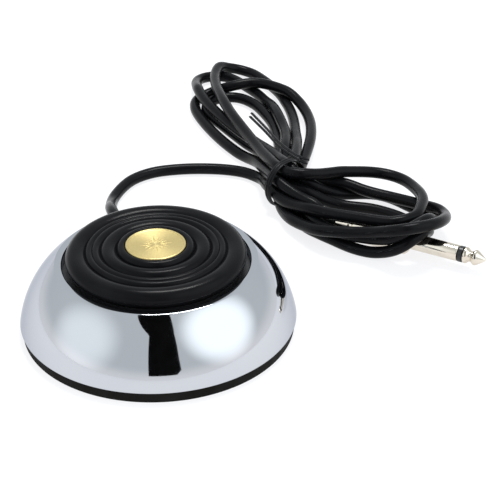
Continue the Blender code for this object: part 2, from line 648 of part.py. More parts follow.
def build_bundle():
    """The tied bundle as two solids that meet inside the tie, and the tie round them."""
    sections = (
        ("cord_bundle_far", FAR_LOBE_OUTLINE, FAR_LOBE_HEIGHT, (-NECK_LENGTH, -GAP / 2)),
        ("cord_bundle_near", NEAR_LOBE_OUTLINE, NEAR_LOBE_HEIGHT, (GAP / 2, NECK_LENGTH)),
    )
    along = tie_matrix()
    for name, outline, height, (start, end) in sections:
        lobe = outline_solid(name, outline, height, CORD_BLACK)
        far = name.endswith("far")
        trim_span = (-3 * MM, 60 * MM) if far else (-60 * MM, 3 * MM)
        trim = turned(
            name + "_trim",
            [(0, trim_span[1]), (40 * MM, trim_span[1]), (40 * MM, trim_span[0]), (0, trim_span[0])],
            steps=24, matrix=along, cutter=True,
        )
        combine(lobe, trim)
        neck = turned(
            name + "_neck", [(0, end), (BUNDLE_R, end), (BUNDLE_R, start), (0, start)], steps=24,
            matrix=along, cutter=True,
        )
        combine(lobe, neck, "UNION")
        if not far:
            plug_room = turned(
                "plug_room",
                [(0, 40 * MM), (PLUG_BARREL_R + 0.5 * MM, 40 * MM), (PLUG_BARREL_R + 0.5 * MM, -41 * MM), (0, -41 * MM)],
                steps=24, matrix=plug_matrix(), cutter=True,
            )
            combine(lobe, plug_room)
            under = PLUG_COLLAR + Vector((-14.0, 7.8, -7.2)) * MM
            slot = box("plug_slot", (-42 * MM, -4.4 * MM, -6 * MM), (38 * MM, 4.4 * MM, 4.6 * MM), cutter=True)
            slot.matrix_world = Matrix.Translation(under) @ Matrix.Rotation(PLUG_HEADING, 4, "Z")
            combine(lobe, slot)
        else:
            lead_room = box("lead_room", (-40 * MM, -3 * MM, -4 * MM), (2.2 * MM, 3 * MM, 3.4 * MM), cutter=True)
            end_place = Vector(LEAD_ROUTE[-1]) * MM
            before = Vector(LEAD_ROUTE[-2]) * MM
            heading = math.atan2(end_place.y - before.y, end_place.x - before.x)
            lead_room.matrix_world = Matrix.Translation(end_place) @ Matrix.Rotation(heading, 4, "Z")
            combine(lobe, lead_room)
    ring = []
    for i in range(28):
        angle = 2 * math.pi * i / 28
        ring.append(along @ Vector((TIE_R * math.cos(angle), TIE_R * math.sin(angle), 0.0)))
    tube("cord_tie", ring, TIE_WIRE_R, BLACK_PLASTIC, cyclic=True, resolution=1)


def plug_matrix():
    """A frame at the plug's collar whose Z axis points to the plug's tip."""
    turn = Matrix.Rotation(PLUG_HEADING, 4, "Z") @ Matrix.Rotation(math.pi / 2, 4, "Y")
    return Matrix.Translation(PLUG_COLLAR) @ turn


def build_plug():
    along = plug_matrix()
    back = -PLUG_BARREL_LENGTH
    barrel = [  # radius and distance along the barrel, in mm
        (0.0, 0.0), (4.9, 0.0), (5.7, -0.8), (5.7, -3.4), (5.2, -3.8), (5.2, -4.6), (5.7, -5.0), (5.7, -22.0),
        (5.2, -22.4), (5.2, -23.6), (5.6, -24.0), (4.9, -29.4), (4.5, back / MM), (0.0, back / MM),
    ]
    turned("plug_barrel", [(r * MM, d * MM) for r, d in barrel], NICKEL, steps=24, matrix=along)
    boot = [
        (0.0, -30.3), (3.9, -30.3), (3.9, -31.6), (3.3, -32.0), (3.5, -33.6), (3.0, -34.0), (3.0, -35.6), (0.0, -35.6),
    ]
    turned("plug_boot", [(r * MM, d * MM) for r, d in boot], BLACK_RUBBER, steps=20, matrix=along)
    ring_end = PLUG_RING_AT + PLUG_RING_WIDTH
    sleeve = [
        (0, PLUG_RING_AT - GAP), (PLUG_SLEEVE_R, PLUG_RING_AT - GAP), (PLUG_SLEEVE_R, GAP), (0, GAP),
    ]
    turned("plug_sleeve", sleeve, NICKEL, steps=24, matrix=along)
    ring = [
        (0, ring_end), (PLUG_SLEEVE_R, ring_end), (PLUG_SLEEVE_R, PLUG_RING_AT), (0, PLUG_RING_AT),
    ]
    turned("plug_insulator", ring, BLACK_PLASTIC, steps=24, matrix=along)
    tip = [  # radius and distance back from the plug's point, in mm
        (0.0, 0.0), (0.5, -0.1), (1.2, -0.9), (2.9, -3.4), (3.1, -4.1), (2.9, -4.6), (2.2, -5.6), (2.1, -6.2),
        (2.4, -6.7), (3.0, -7.2), (3.17, -7.7), (3.17, -8.6), (0.0, -8.6),
    ]
    turned("plug_tip", [(r * MM, PLUG_TIP_AT + d * MM) for r, d in tip], NICKEL, steps=24, matrix=along)


build_shell()
build_base()
build_frame()
build_treadle()
build_switch()
build_cord_entry()
tube("cord_lead", smooth_route(LEAD_ROUTE, LEAD_STEP), CORD_D / 2, CORD_BLACK)
build_bundle()
build_plug()
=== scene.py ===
import math

import bmesh
import bpy
import numpy as np
from mathutils import Matrix, Vector


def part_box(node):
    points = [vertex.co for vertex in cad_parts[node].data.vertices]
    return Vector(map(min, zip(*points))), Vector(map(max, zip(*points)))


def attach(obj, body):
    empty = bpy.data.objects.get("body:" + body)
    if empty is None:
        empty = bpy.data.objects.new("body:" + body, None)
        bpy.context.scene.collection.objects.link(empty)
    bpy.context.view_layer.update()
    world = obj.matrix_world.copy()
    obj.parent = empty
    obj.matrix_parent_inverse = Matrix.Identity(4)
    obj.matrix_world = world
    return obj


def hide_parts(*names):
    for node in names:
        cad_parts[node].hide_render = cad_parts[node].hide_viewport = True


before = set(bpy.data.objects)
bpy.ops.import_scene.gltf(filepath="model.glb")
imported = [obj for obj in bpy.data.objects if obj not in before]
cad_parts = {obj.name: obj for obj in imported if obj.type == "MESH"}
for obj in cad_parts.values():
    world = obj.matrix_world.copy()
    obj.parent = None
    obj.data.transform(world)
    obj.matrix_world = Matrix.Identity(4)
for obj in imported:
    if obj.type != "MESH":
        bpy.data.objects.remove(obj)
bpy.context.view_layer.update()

MM = 0.001
GAP = 0.3 * MM  # between pieces that touch
ROUND = 192  # segments round the bowl, the pad and the treadle
FINE_ROUND = 64  # segments round the plug and the gland


def radius_of(node):
    """Radius of a node that is round about the pedal's axis."""
    low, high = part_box(node)
    return (high.x - low.x) / 2


# Bowl, pad and treadle, from the frame
SHELL_R = radius_of("outer_shell")
SHELL_FOOT_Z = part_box("outer_shell")[0].z
SHELL_TOP_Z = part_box("outer_shell")[1].z
SHELL_SHOULDER_R = 36.32 * MM  # where the flank meets the shoulder's rounding
SHELL_SHOULDER_DROP = 0.13 * MM  # how far that is below the rim
SHELL_SHOULDER_SLOPE = 51.0  # degrees that the flank faces up there
SHELL_EDGE = 0.6 * MM  # rounding of the shoulder and of the mouth
SHELL_FOOT_EDGE = 0.35 * MM
SHELL_OPENING_R = 33.6 * MM
SHELL_LIP_Z = 24.0 * MM
SHELL_WALL = 1.2 * MM
SHELL_ARC_R = 38.0 * MM
FOOT_LIFT = 0.5 * MM  # the bowl's rolled edge stands this far above its foot's lowest line
PAD_R = radius_of("base_pad")
PAD_TOP_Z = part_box("base_pad")[1].z
PAD_GROWTH = 0.4 * MM  # how far the visible pad stands out past the frame's
SCREW_ANGLES = (30.0, 150.0, 270.0)  # of the screws that hold the base plate
SCREW_RADIUS = 43.2 * MM
TREAD_BOTTOM_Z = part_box("tread_pad")[0].z
MEDALLION_R = radius_of("medallion")
MEDALLION_LOW_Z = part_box("medallion")[0].z
MEDALLION_TOP_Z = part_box("medallion")[1].z

# Cord, its gland and the plug
EXIT_ANGLE = 107.0  # degrees from +X
EXIT_Z = 10.0 * MM
GLAND_END = 62.0 * MM  # from the pedal's axis
CORD_D = 4.6 * MM
PLUG_R = 5.7 * MM
PLUG_COLLAR = Vector((94.4, 47.1, 5.7)) * MM
PLUG_HEADING = math.radians(-29.1)
PLUG_TIP_AT = 31.6 * MM  # from the collar, as the next
PLUG_BARREL_LENGTH = 30.0 * MM
PLUG_BARREL_CLEAR = 30.3  # mm of barrel that the cord has to stay off
PLUG_SLEEVE_CLEAR = 21.0  # mm of sleeve and insulator that it has to stay off
SLEEVE_R = 3.175 * MM

# Tie
TIE_CENTRE = Vector((48.3, 87.3, 9.7)) * MM
TIE_HEADING = math.radians(-45.0)
TIE_SLOT_R = 6.1 * MM  # from the middle of the tied bundle to each outer strand
TIE_RING_R = 9.1 * MM

# Camera
CAMERA_PLACE = Vector((33.41, -577.89, 379.39)) * MM
CAMERA_TILT = math.radians(58.902)
CAMERA_ROLL = math.radians(-0.823)
CAMERA_LENS = 136.87  # mm, on a sensor 36 mm wide
CAMERA_SENSOR = 36.0

# Studio
FLOOR_GLOW = 0.82
FLOOR_GREY = (0.22, 0.22, 0.22)
SOFTBOX_PLACE = (0.12, 0.45, 1.2)
SOFTBOX_TARGET = (0.03, 0.05, 0.0)
SOFTBOX_SIZE = (0.5, 0.24)
SOFTBOX_POWER = 11.5  # W
SKY_HORIZON = (0.0, 0.24, 1.02, 0.78)  # sines of two elevations, and the sky's brightness at each
SKY_TINT = {"Red": (0.99, 0.93), "Green": (0.99, 0.98), "Blue": (1.0, 1.0)}  # at the same two elevations
SKY_LAMPS = (  # azimuth, elevation, angles from it where the glow starts to fall and ends, brightness
    (65.0, 34.0, 16.0, 37.0, 1.05),
    (-68.0, 24.0, 8.0, 35.0, 0.50),
)
# Elevation and azimuth in degrees down the flag's two sides, as the front of the bowl sees them
FLAG_LEFT = ((4.0, -6.5), (36.0, -7.6), (48.0, -8.2), (58.0, -22.0), (66.0, -34.0), (79.0, -50.0))
FLAG_RIGHT = ((4.0, 16.0), (8.5, 19.5), (22.0, 19.0), (47.0, 20.0), (60.0, 22.5), (66.0, 24.0), (79.0, 30.0))
FLAG_SEEN_FROM = Vector((0, -45, 20)) * MM
FLAG_ROWS = 34
FLAG_COLUMNS = 8


# ---------------------------------------------------------------- the cord's route

# Places of the nine strands in the tie: angle round the bundle in degrees, None for the middle
SLOTS = {
    "lead": 197.0, "right_loop_a": 107.0, "right_loop_b": 17.0, "right_loop_c": 242.0, "middle": None,
    "right_loop_d": 287.0, "right_loop_e": 62.0, "right_loop_f": 332.0, "plug_run": 152.0,
}
# Places in mm that the centreline passes, from the gland to the plug. A place without a height lies on the
# floor, and a name stands for a place in the tie.
ROUTE = (
    # out of the gland, down to the floor and round to the tie
    (-18.3, 59.8, 10.0), (-19.8, 65.0, 9.7), (-21.0, 71.5, 8.0), (-21.5, 79.5, 4.6), (-21.4, 87.5),
    (-19.0, 95.5), (-14.3, 104.0), (-6.5, 109.8), (2.6, 112.2), (13.2, 112.8),
    (24.6, 111.4), (32.4, 108.4, 2.5), (37.6, 104.0, 2.8), (41.0, 98.5, 4.0), (42.8, 91.5, 6.0),
    "lead",
    # over the plug's barrel
    (47.4, 76.3, 7.2), (51.2, 71.0, 8.5), (55.8, 65.3, 10.0), (61.2, 60.0, 11.4), (67.8, 56.2, 12.3),
    (76.4, 52.2, 12.8), (85.0, 48.9, 13.2), (91.0, 47.0, 13.8),
    # first right-hand turn, back to the tie
    (96.3, 50.1, 14.0), (99.0, 57.4, 13.6), (101.0, 67.0, 12.6), (99.0, 79.5, 10.5), (94.7, 88.6, 9.5),
    (88.5, 93.0, 9.5), (81.7, 93.2, 10.5), (70.2, 90.0, 12.5), (59.5, 86.0, 14.5),
    "right_loop_a",
    # up the far lobe's left side and round its far end
    (42.5, 98.5, 14.5), (39.5, 108.0, 13.0), (34.5, 121.0, 12.0), (30.0, 133.0, 12.0), (26.0, 144.5, 12.0),
    (23.0, 155.5, 12.0), (21.0, 165.5, 11.0), (19.5, 176.5, 9.5), (19.0, 188.0, 8.2), (19.9, 196.0, 7.2),
    (21.6, 202.2, 5.4), (24.2, 206.2, 3.8), (27.8, 207.8, 2.8), (31.4, 206.3), (37.0, 199.8),
    (41.2, 193.7), (44.7, 187.5), (47.7, 181.0), (50.2, 173.0),
    # back down its right side
    (52.0, 163.3, 2.8), (53.0, 153.2, 3.6), (53.3, 142.0, 5.0), (53.0, 130.0, 7.0), (52.3, 119.0, 9.0),
    (51.8, 107.0, 10.0), (51.8, 98.0, 10.5),
    "right_loop_b",
    # outer right-hand turn
    (58.5, 88.5, 9.2), (64.5, 89.8, 7.5), (70.3, 91.0, 6.2), (78.8, 88.4, 5.2), (87.7, 83.8, 5.2),
    (96.5, 78.6, 5.2), (103.8, 72.3, 6.0), (107.6, 66.0, 7.5), (109.0, 59.5, 9.4), (107.0, 49.9, 13.4),
    (101.9, 43.2, 16.0), (96.8, 38.9, 17.0), (91.0, 36.5, 17.0), (86.2, 38.2, 15.2), (82.0, 41.2, 13.1),
    (76.1, 44.2, 11.2), (68.1, 46.4, 10.4), (60.1, 52.1, 8.2), (54.5, 59.2, 6.2), (50.2, 66.9, 4.8),
    (47.8, 75.0, 3.8),
    "right_loop_c",
    # up the middle of the far lobe
    (45.2, 97.0, 4.6), (45.8, 110.0, 5.0), (46.4, 123.0, 5.0), (46.3, 132.0, 4.2), (45.7, 141.0, 3.2),
    (45.0, 149.5), (43.3, 156.7), (40.8, 163.5), (37.8, 169.0), (34.3, 173.4),
    (30.4, 176.8), (26.2, 178.6), (22.0, 178.8), (18.2, 176.8), (15.8, 172.3),
    # back under the other strands
    (15.4, 166.5), (17.2, 160.5), (20.4, 154.5), (24.5, 147.5), (28.8, 140.0),
    (33.0, 132.5, 2.8), (37.4, 123.5, 4.6), (41.4, 110.0, 7.4),
    "middle",
    # inner right-hand turn, low
    (55.5, 82.2, 8.2), (61.0, 80.6, 6.2), (66.5, 79.8, 4.2), (72.2, 79.1, 3.0), (81.3, 77.4),
    (90.1, 72.5), (95.7, 67.5), (99.6, 61.8, 2.8), (101.5, 56.5, 4.2), (101.0, 51.2, 7.0),
    (97.8, 42.6, 11.0), (94.3, 38.9, 10.8), (91.0, 37.9, 9.0), (87.7, 40.0, 6.0), (83.6, 42.5, 3.5),
    (78.7, 44.5), (73.5, 47.2), (68.5, 51.4), (64.0, 56.2), (60.0, 61.2),
    (56.2, 68.0, 2.6), (52.8, 76.5, 2.9),
    "right_loop_d",
    # far lobe again, over the last
    (48.2, 98.0, 6.5), (49.2, 108.0, 8.6), (49.7, 118.0, 9.0), (49.5, 129.2, 7.5), (48.5, 140.3, 6.2),
    (46.5, 150.6, 5.6), (44.0, 161.7, 4.8), (41.0, 172.5, 3.2), (37.7, 181.2), (34.4, 186.3),
    (31.0, 191.0), (27.3, 195.2), (23.7, 198.9), (20.0, 201.4), (16.4, 202.0),
    (13.5, 200.0, 2.6), (11.6, 194.2, 3.4), (11.1, 185.3, 5.0), (12.2, 175.5, 6.8), (14.3, 167.5, 7.2),
    (17.4, 159.7, 7.2), (21.4, 151.4, 7.2), (25.7, 143.4, 7.2), (30.0, 136.0, 7.2), (34.1, 129.0, 7.6),
    (39.0, 118.5, 9.0), (43.8, 104.0, 12.6),
    "right_loop_e",
    # middle right-hand turn, between the other two in front of the plug
    (54.0, 86.2, 12.6), (59.5, 85.4, 10.4), (66.3, 84.6, 7.6), (75.5, 84.0, 6.2), (84.6, 82.6, 5.6),
    (91.0, 80.5, 4.6), (96.0, 77.3, 3.4), (101.0, 72.8, 3.0), (105.0, 67.5, 4.0), (105.2, 59.5, 7.0),
    (102.5, 50.5, 11.0), (98.8, 43.8, 14.4), (94.6, 39.8, 14.8), (90.5, 38.9, 12.8), (86.6, 41.2, 10.2),
    (82.0, 44.8, 8.0), (76.2, 48.0, 7.0), (71.6, 50.6, 6.4), (67.2, 54.0, 5.8), (62.6, 58.8, 5.6),
    (58.4, 65.5, 5.4), (55.2, 74.5, 5.4),
    "right_loop_f",
    # last turn of the far lobe, under the others
    (53.6, 101.0, 6.6), (55.4, 109.5, 6.4), (57.5, 119.0, 6.2), (59.3, 129.5, 6.0), (60.1, 140.0, 5.4),
    (59.9, 149.5, 4.8), (58.7, 158.0, 4.6), (56.2, 166.5, 4.9), (52.6, 172.8, 5.6), (48.8, 176.6, 6.4),
    (45.0, 179.3, 7.0), (41.0, 181.5, 7.2), (37.1, 182.6, 7.2), (33.5, 182.4, 7.2), (30.0, 181.2, 7.2),
    (26.4, 180.4, 6.9), (22.6, 180.6, 5.6), (18.8, 181.6, 4.0), (15.0, 181.6, 2.8), (12.2, 179.2),
    (10.6, 174.4), (10.5, 168.3), (12.0, 161.5), (14.3, 154.6), (17.4, 147.1),
    (21.0, 139.6), (24.8, 132.6), (29.1, 125.5, 2.6), (33.6, 118.5, 3.8), (38.8, 108.0, 7.0),
    "plug_run",
    # into the plug
    (44.6, 83.4, 12.4), (49.2, 78.2, 10.6), (53.4, 73.2, 8.6), (57.0, 69.2, 6.9),
)
PLUG_ENTRY = (-39.0, -33.0)  # where the cord runs inside the boot, along the plug's axis in mm
ROUTE_FLOOR = 2.4  # height of a place on the floor, mm
ROUTE_STEP = 1.8  # between the centreline's points while it settles, mm
FINE_STEP = 1.5  # between them afterwards
CORD_MM = CORD_D / MM
CORD_REST_Z = CORD_MM / 2 + 0.02
CONTACT_GAP = 1.012 * CORD_MM
MIN_BEND = 9.0  # bend radius that settling keeps to where strands leave room, mm
BEND_EASING = ((3, 0.4), (5, 0.3))  # reach in points, and how much of a tight bend opens in a round
SETTLE_ROUNDS = 900
SAG = 0.01  # how far the cord sinks in a round, mm
HEIGHT_PULL = 0.015  # share of the way back to its height on the route in a round
PLAN_PULL = 0.03  # the same in plan, and the two below for points near the tie
PLAN_PULL_BY_TIE = 0.012
PLAN_PULL_IN_TIE = 0.004
BY_TIE, IN_TIE = 30.0, 15.0  # distances from the tie's middle, mm
SHAPE_SMOOTHING = 0.35  # of how far the points have moved
BEND_SMOOTHING = 0.5
HEIGHT_SMOOTHING = 0.02
CONTACT_ROUNDS = 3  # in each round of settling
CONTACT_SHARE = 0.25  # share of an overlap that each strand gives way at a time
PAIRS_LAST = 15  # rounds before the pairs of near points are found again
PAIRS_MARGIN = 2.5  # mm past contact
PAIRS_SKIP = 9  # mm along the cord inside which points aren't a pair
TIE_HOLD = 0.35  # share of the way back to its place in the tie
HELD_AT_GLAND = 4  # points that stay where the route has them
HELD_AT_PLUG = 3
INSIDE_BOOT = 16  # points that may pass through the plug's outline


def tie_axes():
    """Unit vectors at the tie: along the bundle, across it, and up."""
    along = np.array([math.cos(TIE_HEADING), math.sin(TIE_HEADING), 0.0])
    across = np.array([-along[1], along[0], 0.0])
    return along, across, np.array([0.0, 0.0, 1.0])


def tie_place(name):
    """Where a strand passes the tie, in mm."""
    angle = SLOTS[name]
    centre = np.array(TIE_CENTRE) / MM
    if angle is None:
        return centre
    _, across, up = tie_axes()
    turn = math.radians(angle)
    return centre + (math.cos(turn) * across + math.sin(turn) * up) * TIE_SLOT_R / MM


def plug_axis():
    return np.array([math.cos(PLUG_HEADING), math.sin(PLUG_HEADING), 0.0])


def route_knots():
    """Every place in mm that the centreline passes, from the gland to inside the plug's boot."""
    places = [tie_place(p) if isinstance(p, str) else np.array((*p, ROUTE_FLOOR)[:3]) for p in ROUTE]
    collar = np.array(PLUG_COLLAR) / MM
    places += [collar + plug_axis() * at for at in PLUG_ENTRY]
    return np.array(places)


def smooth_line(knots, per_span=16):
    """A smooth curve through the knots: a centripetal Catmull-Rom spline, which never loops between them."""
    ends = (2 * knots[0] - knots[1], 2 * knots[-1] - knots[-2])
    k = np.vstack([ends[0], knots, ends[1]])
    share = (np.arange(per_span) / per_span)[:, None]
    spans = []
    for a, b, c, d in zip(k, k[1:], k[2:], k[3:]):
        t_ab, t_bc, t_cd = (max(np.linalg.norm(q - p) ** 0.5, 1e-6) for p, q in ((a, b), (b, c), (c, d)))
        leave = (c - b) + t_bc * ((b - a) / t_ab - (c - a) / (t_ab + t_bc))
        reach = (c - b) + t_bc * ((d - c) / t_cd - (d - b) / (t_bc + t_cd))
        cubic = 2 * (b - c) + leave + reach
        square = -3 * (b - c) - 2 * leave - reach
        spans.append(cubic * share**3 + square * share**2 + leave * share + b)
    return np.vstack([*spans, knots[-1][None]])


def evenly(line, step):
    """The same line with its points a fixed distance apart."""
    lengths = np.concatenate([[0.0], np.cumsum(np.linalg.norm(np.diff(line, axis=0), axis=1))])
    at = np.linspace(0.0, lengths[-1], int(round(lengths[-1] / step)) + 1)
    return np.stack([np.interp(at, lengths, line[:, axis]) for axis in range(3)], axis=1)


def second_difference(values):
    out = np.zeros_like(values)
    out[1:-1] = 0.5 * (values[2:] + values[:-2]) - values[1:-1]
    return out


def fourth_difference(values):
    bend = second_difference(values)
    out = np.zeros_like(values)
    out[2:-2] = bend[2:-2] - 0.5 * (bend[3:-1] + bend[1:-3])
    return out


def near_pairs(line, reach, skip):
    """Pairs of points closer than reach, apart from neighbours along the cord."""
    first, second = [], []
    for start in range(0, len(line), 200):
        block = line[start:start + 200]
        apart = ((block[:, None, :] - line[None, :, :]) ** 2).sum(2)
        i, j = np.where(apart < reach**2)
        i = i + start
        keep = j - i > skip
        first.append(i[keep])
        second.append(j[keep])
    return np.concatenate(first), np.concatenate(second)


def push_apart(line, pairs):
    """Move strands that overlap away from each other by half of what is missing."""
    first, second = pairs
    between = line[first] - line[second]
    apart = np.linalg.norm(between, axis=1)
    touching = apart < CONTACT_GAP
    if not touching.any():
        return
    i, j = first[touching], second[touching]
    apart = apart[touching]
    push = (CONTACT_SHARE * (CONTACT_GAP - apart) / np.maximum(apart, 1e-6))[:, None] * between[touching]
    total = np.zeros_like(line)
    count = np.zeros(len(line))
    np.add.at(total, i, push)
    np.add.at(total, j, -push)
    np.add.at(count, i, 1)
    np.add.at(count, j, 1)
    line += total / np.sqrt(np.maximum(count, 1))[:, None]


def off_the_plug(line, free):
    """Keep the free points outside the plug's barrel and sleeve."""
    collar, axis = np.array(PLUG_COLLAR) / MM, plug_axis()
    spans = ((-PLUG_BARREL_CLEAR, 0.0, PLUG_R / MM), (0.0, PLUG_SLEEVE_CLEAR, SLEEVE_R / MM))
    for start, end, radius in spans:
        along = np.clip((line - collar) @ axis, start, end)
        out = line - (collar + along[:, None] * axis)
        apart = np.linalg.norm(out, axis=1)
        clear = radius + CORD_MM / 2 + 0.05
        inside = free & (apart < clear)
        line[inside] += out[inside] * (clear / np.maximum(apart[inside], 1e-6) - 1)[:, None]


def ease_bends(line, reach, weight):
    """Ease bends tighter than MIN_BEND: move a point towards the middle of its neighbours at this reach."""
    before, after, here = line[:-2 * reach], line[2 * reach:], line[reach:-reach]
    middle = (before + after) / 2
    half_chord = np.linalg.norm(after - before, axis=1) / 2
    allowed = half_chord**2 / (2 * MIN_BEND)
    sag = here - middle
    depth = np.linalg.norm(sag, axis=1)
    extra = np.maximum(depth - allowed, 0) / np.maximum(depth, 1e-6)
    move = (weight * extra)[:, None] * sag
    line[reach:-reach] -= move
    line[:-2 * reach] += move / 2
    line[2 * reach:] += move / 2


def settled_cord():
    """The cord's centreline in mm: the route, its strands pushed off each other, lying under its own weight.

    A point that moves up or down in the pile also shifts along the line of sight of the camera, so that the
    crossings stay where the route shows them.
    """
    start = evenly(smooth_line(route_knots()), ROUTE_STEP)
    line = start.copy()
    count = len(line)
    order = np.arange(count)
    eye = np.array(CAMERA_PLACE) / MM
    along, _, _ = tie_axes()
    held_place = np.array([tie_place(name) for name in SLOTS])
    held = np.array([np.argmin(((start - place) ** 2).sum(1)) for place in held_place])
    fixed = (order < HELD_AT_GLAND) | (order >= count - HELD_AT_PLUG)
    free = ~fixed & (order < count - INSIDE_BOOT)
    from_tie = np.linalg.norm(start - np.array(TIE_CENTRE) / MM, axis=1)
    near = np.where(from_tie < IN_TIE, PLAN_PULL_IN_TIE, PLAN_PULL_BY_TIE)
    plan_pull = np.where(from_tie < BY_TIE, near, PLAN_PULL)[:, None]
    for turn in range(SETTLE_ROUNDS):
        if turn % PAIRS_LAST == 0:
            pairs = near_pairs(line, CONTACT_GAP + PAIRS_MARGIN, int(PAIRS_SKIP / ROUTE_STEP))
        line[:, 2] -= SAG
        lifted = (line[:, 2] - start[:, 2])[:, None]
        seen_at = start + (start - eye) * lifted / (start[:, 2:3] - eye[2])
        line[:, :2] += plan_pull * (seen_at - line)[:, :2]
        line[:, 2:] += HEIGHT_PULL * (start - line)[:, 2:]
        line += SHAPE_SMOOTHING * second_difference(line - start)
        line += BEND_SMOOTHING * fourth_difference(line)
        height = line[:, 2]
        height += BEND_SMOOTHING * fourth_difference(height) + HEIGHT_SMOOTHING * second_difference(height)
        for reach, weight in BEND_EASING:
            ease_bends(line, reach, weight)
        for _ in range(CONTACT_ROUNDS):
            push_apart(line, pairs)
            off_the_plug(line, free)
            line[:, 2] = np.maximum(line[:, 2], CORD_REST_Z)
            pull = held_place - line[held]
            pull -= (pull @ along)[:, None] * along
            line[held] += TIE_HOLD * pull
            line[fixed] = start[fixed]
    return line


# ---------------------------------------------------------------- meshes


def link(obj):
    bpy.context.scene.collection.objects.link(obj)
    return obj


def dress(obj, body, slot, surface, *nodes):
    """Give a new piece its material and its body, and hide the CAD nodes that it stands for; the slot is not
    used.
    """
    obj.data.materials.clear()
    obj.data.materials.append(surface)
    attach(obj, body)
    if nodes:
        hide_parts(*nodes)
    return obj


def mesh_object(name, verts, faces):
    """A new object made of these points and faces, with every face turned outwards."""
    mesh = bpy.data.meshes.new(name)
    mesh.from_pydata(verts, [], faces)
    bm = bmesh.new()
    bm.from_mesh(mesh)
    bmesh.ops.recalc_face_normals(bm, faces=bm.faces)
    bm.to_mesh(mesh)
    bm.free()
    return link(bpy.data.objects.new(name, mesh))


def finish_mesh(mesh, sharp_angle=40.0):
    mesh.shade_smooth()
    mesh.set_sharp_from_angle(angle=math.radians(sharp_angle))
    mesh.update()


def arc(centre, radius, start, end, count):
    """Points of an arc in the profile plane, angles in degrees from the outward direction."""
    turns = np.radians(np.linspace(start, end, count))
    return [(centre[0] + radius * math.cos(a), centre[1] + radius * math.sin(a)) for a in turns]


def rounded(profile, radius, steps=4, closed=False):
    """The profile with each inner corner turned into a small arc. A corner at the axis stays as it is."""
    points = [Vector(p) for p in profile]
    count = len(points)
    out = []
    for i, here in enumerate(points):
        if not closed and i in (0, count - 1):
            out.append(here)
            continue
        before, after = points[i - 1], points[(i + 1) % count]
        back, ahead = before - here, after - here
        reach = min(radius, 0.45 * back.length, 0.45 * ahead.length)
        bend = math.pi - back.angle(ahead, math.pi)
        if reach < 1e-7 or bend < math.radians(4):
            out.append(here)
            continue
        start, end = here + back.normalized() * reach, here + ahead.normalized() * reach
        for step in range(steps + 1):
            t = step / steps
            out.append(start * (1 - t) ** 2 + here * 2 * t * (1 - t) + end * t**2)
    return [tuple(p) for p in out]


def turned(name, profile, steps=FINE_ROUND, matrix=None, closed=False, sharp_angle=40.0):
    """A mesh made by turning a profile of (radius, height) points about the local Z axis.

    An open profile starts and ends on the axis; a closed one is a ring. Both run anticlockwise in the profile
    plane, which makes the faces point outwards.
    """
    turns = np.linspace(0, 2 * math.pi, steps, endpoint=False)
    verts, rows = [], []
    for r, z in profile:
        if r < 1e-9:
            rows.append([len(verts)] * steps)
            verts.append((0.0, 0.0, z))
        else:
            rows.append(list(range(len(verts), len(verts) + steps)))
            verts += [(r * math.cos(a), r * math.sin(a), z) for a in turns]
    faces = []
    spans = list(zip(rows, rows[1:]))
    if closed:
        spans.append((rows[-1], rows[0]))
    for low, high in spans:
        for i in range(steps):
            j = (i + 1) % steps
            corners = [low[i], low[j], high[j], high[i]]
            face = [c for k, c in enumerate(corners) if c not in corners[:k]]
            if len(face) > 2:
                faces.append(face)
    obj = mesh_object(name, verts, faces)
    if matrix is not None:
        obj.data.transform(matrix)
    finish_mesh(obj.data, sharp_angle)
    return obj


def cut(obj, *cutters):
    """Take the cutters' shapes out of obj, and throw the cutters away."""
    for cutter in cutters:
        boolean = obj.modifiers.new("cut", "BOOLEAN")
        boolean.operation = "DIFFERENCE"
        boolean.solver = "EXACT"
        boolean.object = cutter
    graph = bpy.context.evaluated_depsgraph_get()
    mesh = bpy.data.meshes.new_from_object(obj.evaluated_get(graph))
    obj.modifiers.clear()
    obj.data = mesh
    for cutter in cutters:
        bpy.data.objects.remove(cutter, do_unlink=True)
    finish_mesh(mesh)


def on_circle(radius, degrees):
    return radius * math.cos(math.radians(degrees)), radius * math.sin(math.radians(degrees))


def lying_matrix(place, heading):
    """A frame at this place whose Z axis is level and points along the heading."""
    turn = Matrix.Rotation(heading, 4, "Z") @ Matrix.Rotation(math.pi / 2, 4, "Y")
    return Matrix.Translation(place) @ turn


def exit_matrix():
    """A frame on the pedal's axis whose Z axis points out through the cord's exit."""
    return lying_matrix((0, 0, EXIT_Z), math.radians(EXIT_ANGLE))


def plug_matrix():
    """A frame at the plug's collar whose Z axis points to the plug's tip."""
    return lying_matrix(PLUG_COLLAR, PLUG_HEADING)


def round_tube(name, line, radius, sides=20):
    """A round cord along a line of points in metres, as one curve of one open spline."""
    curve = bpy.data.curves.new(name, "CURVE")
    curve.dimensions = "3D"
    curve.bevel_depth = radius
    curve.bevel_resolution = (sides - 4) // 2
    curve.use_fill_caps = True
    spline = curve.splines.new("POLY")
    spline.points.add(len(line) - 1)
    spline.points.foreach_set("co", np.column_stack([line, np.ones(len(line))]).ravel())
    spline.use_smooth = True
    return link(bpy.data.objects.new(name, curve))


# ---------------------------------------------------------------- materials


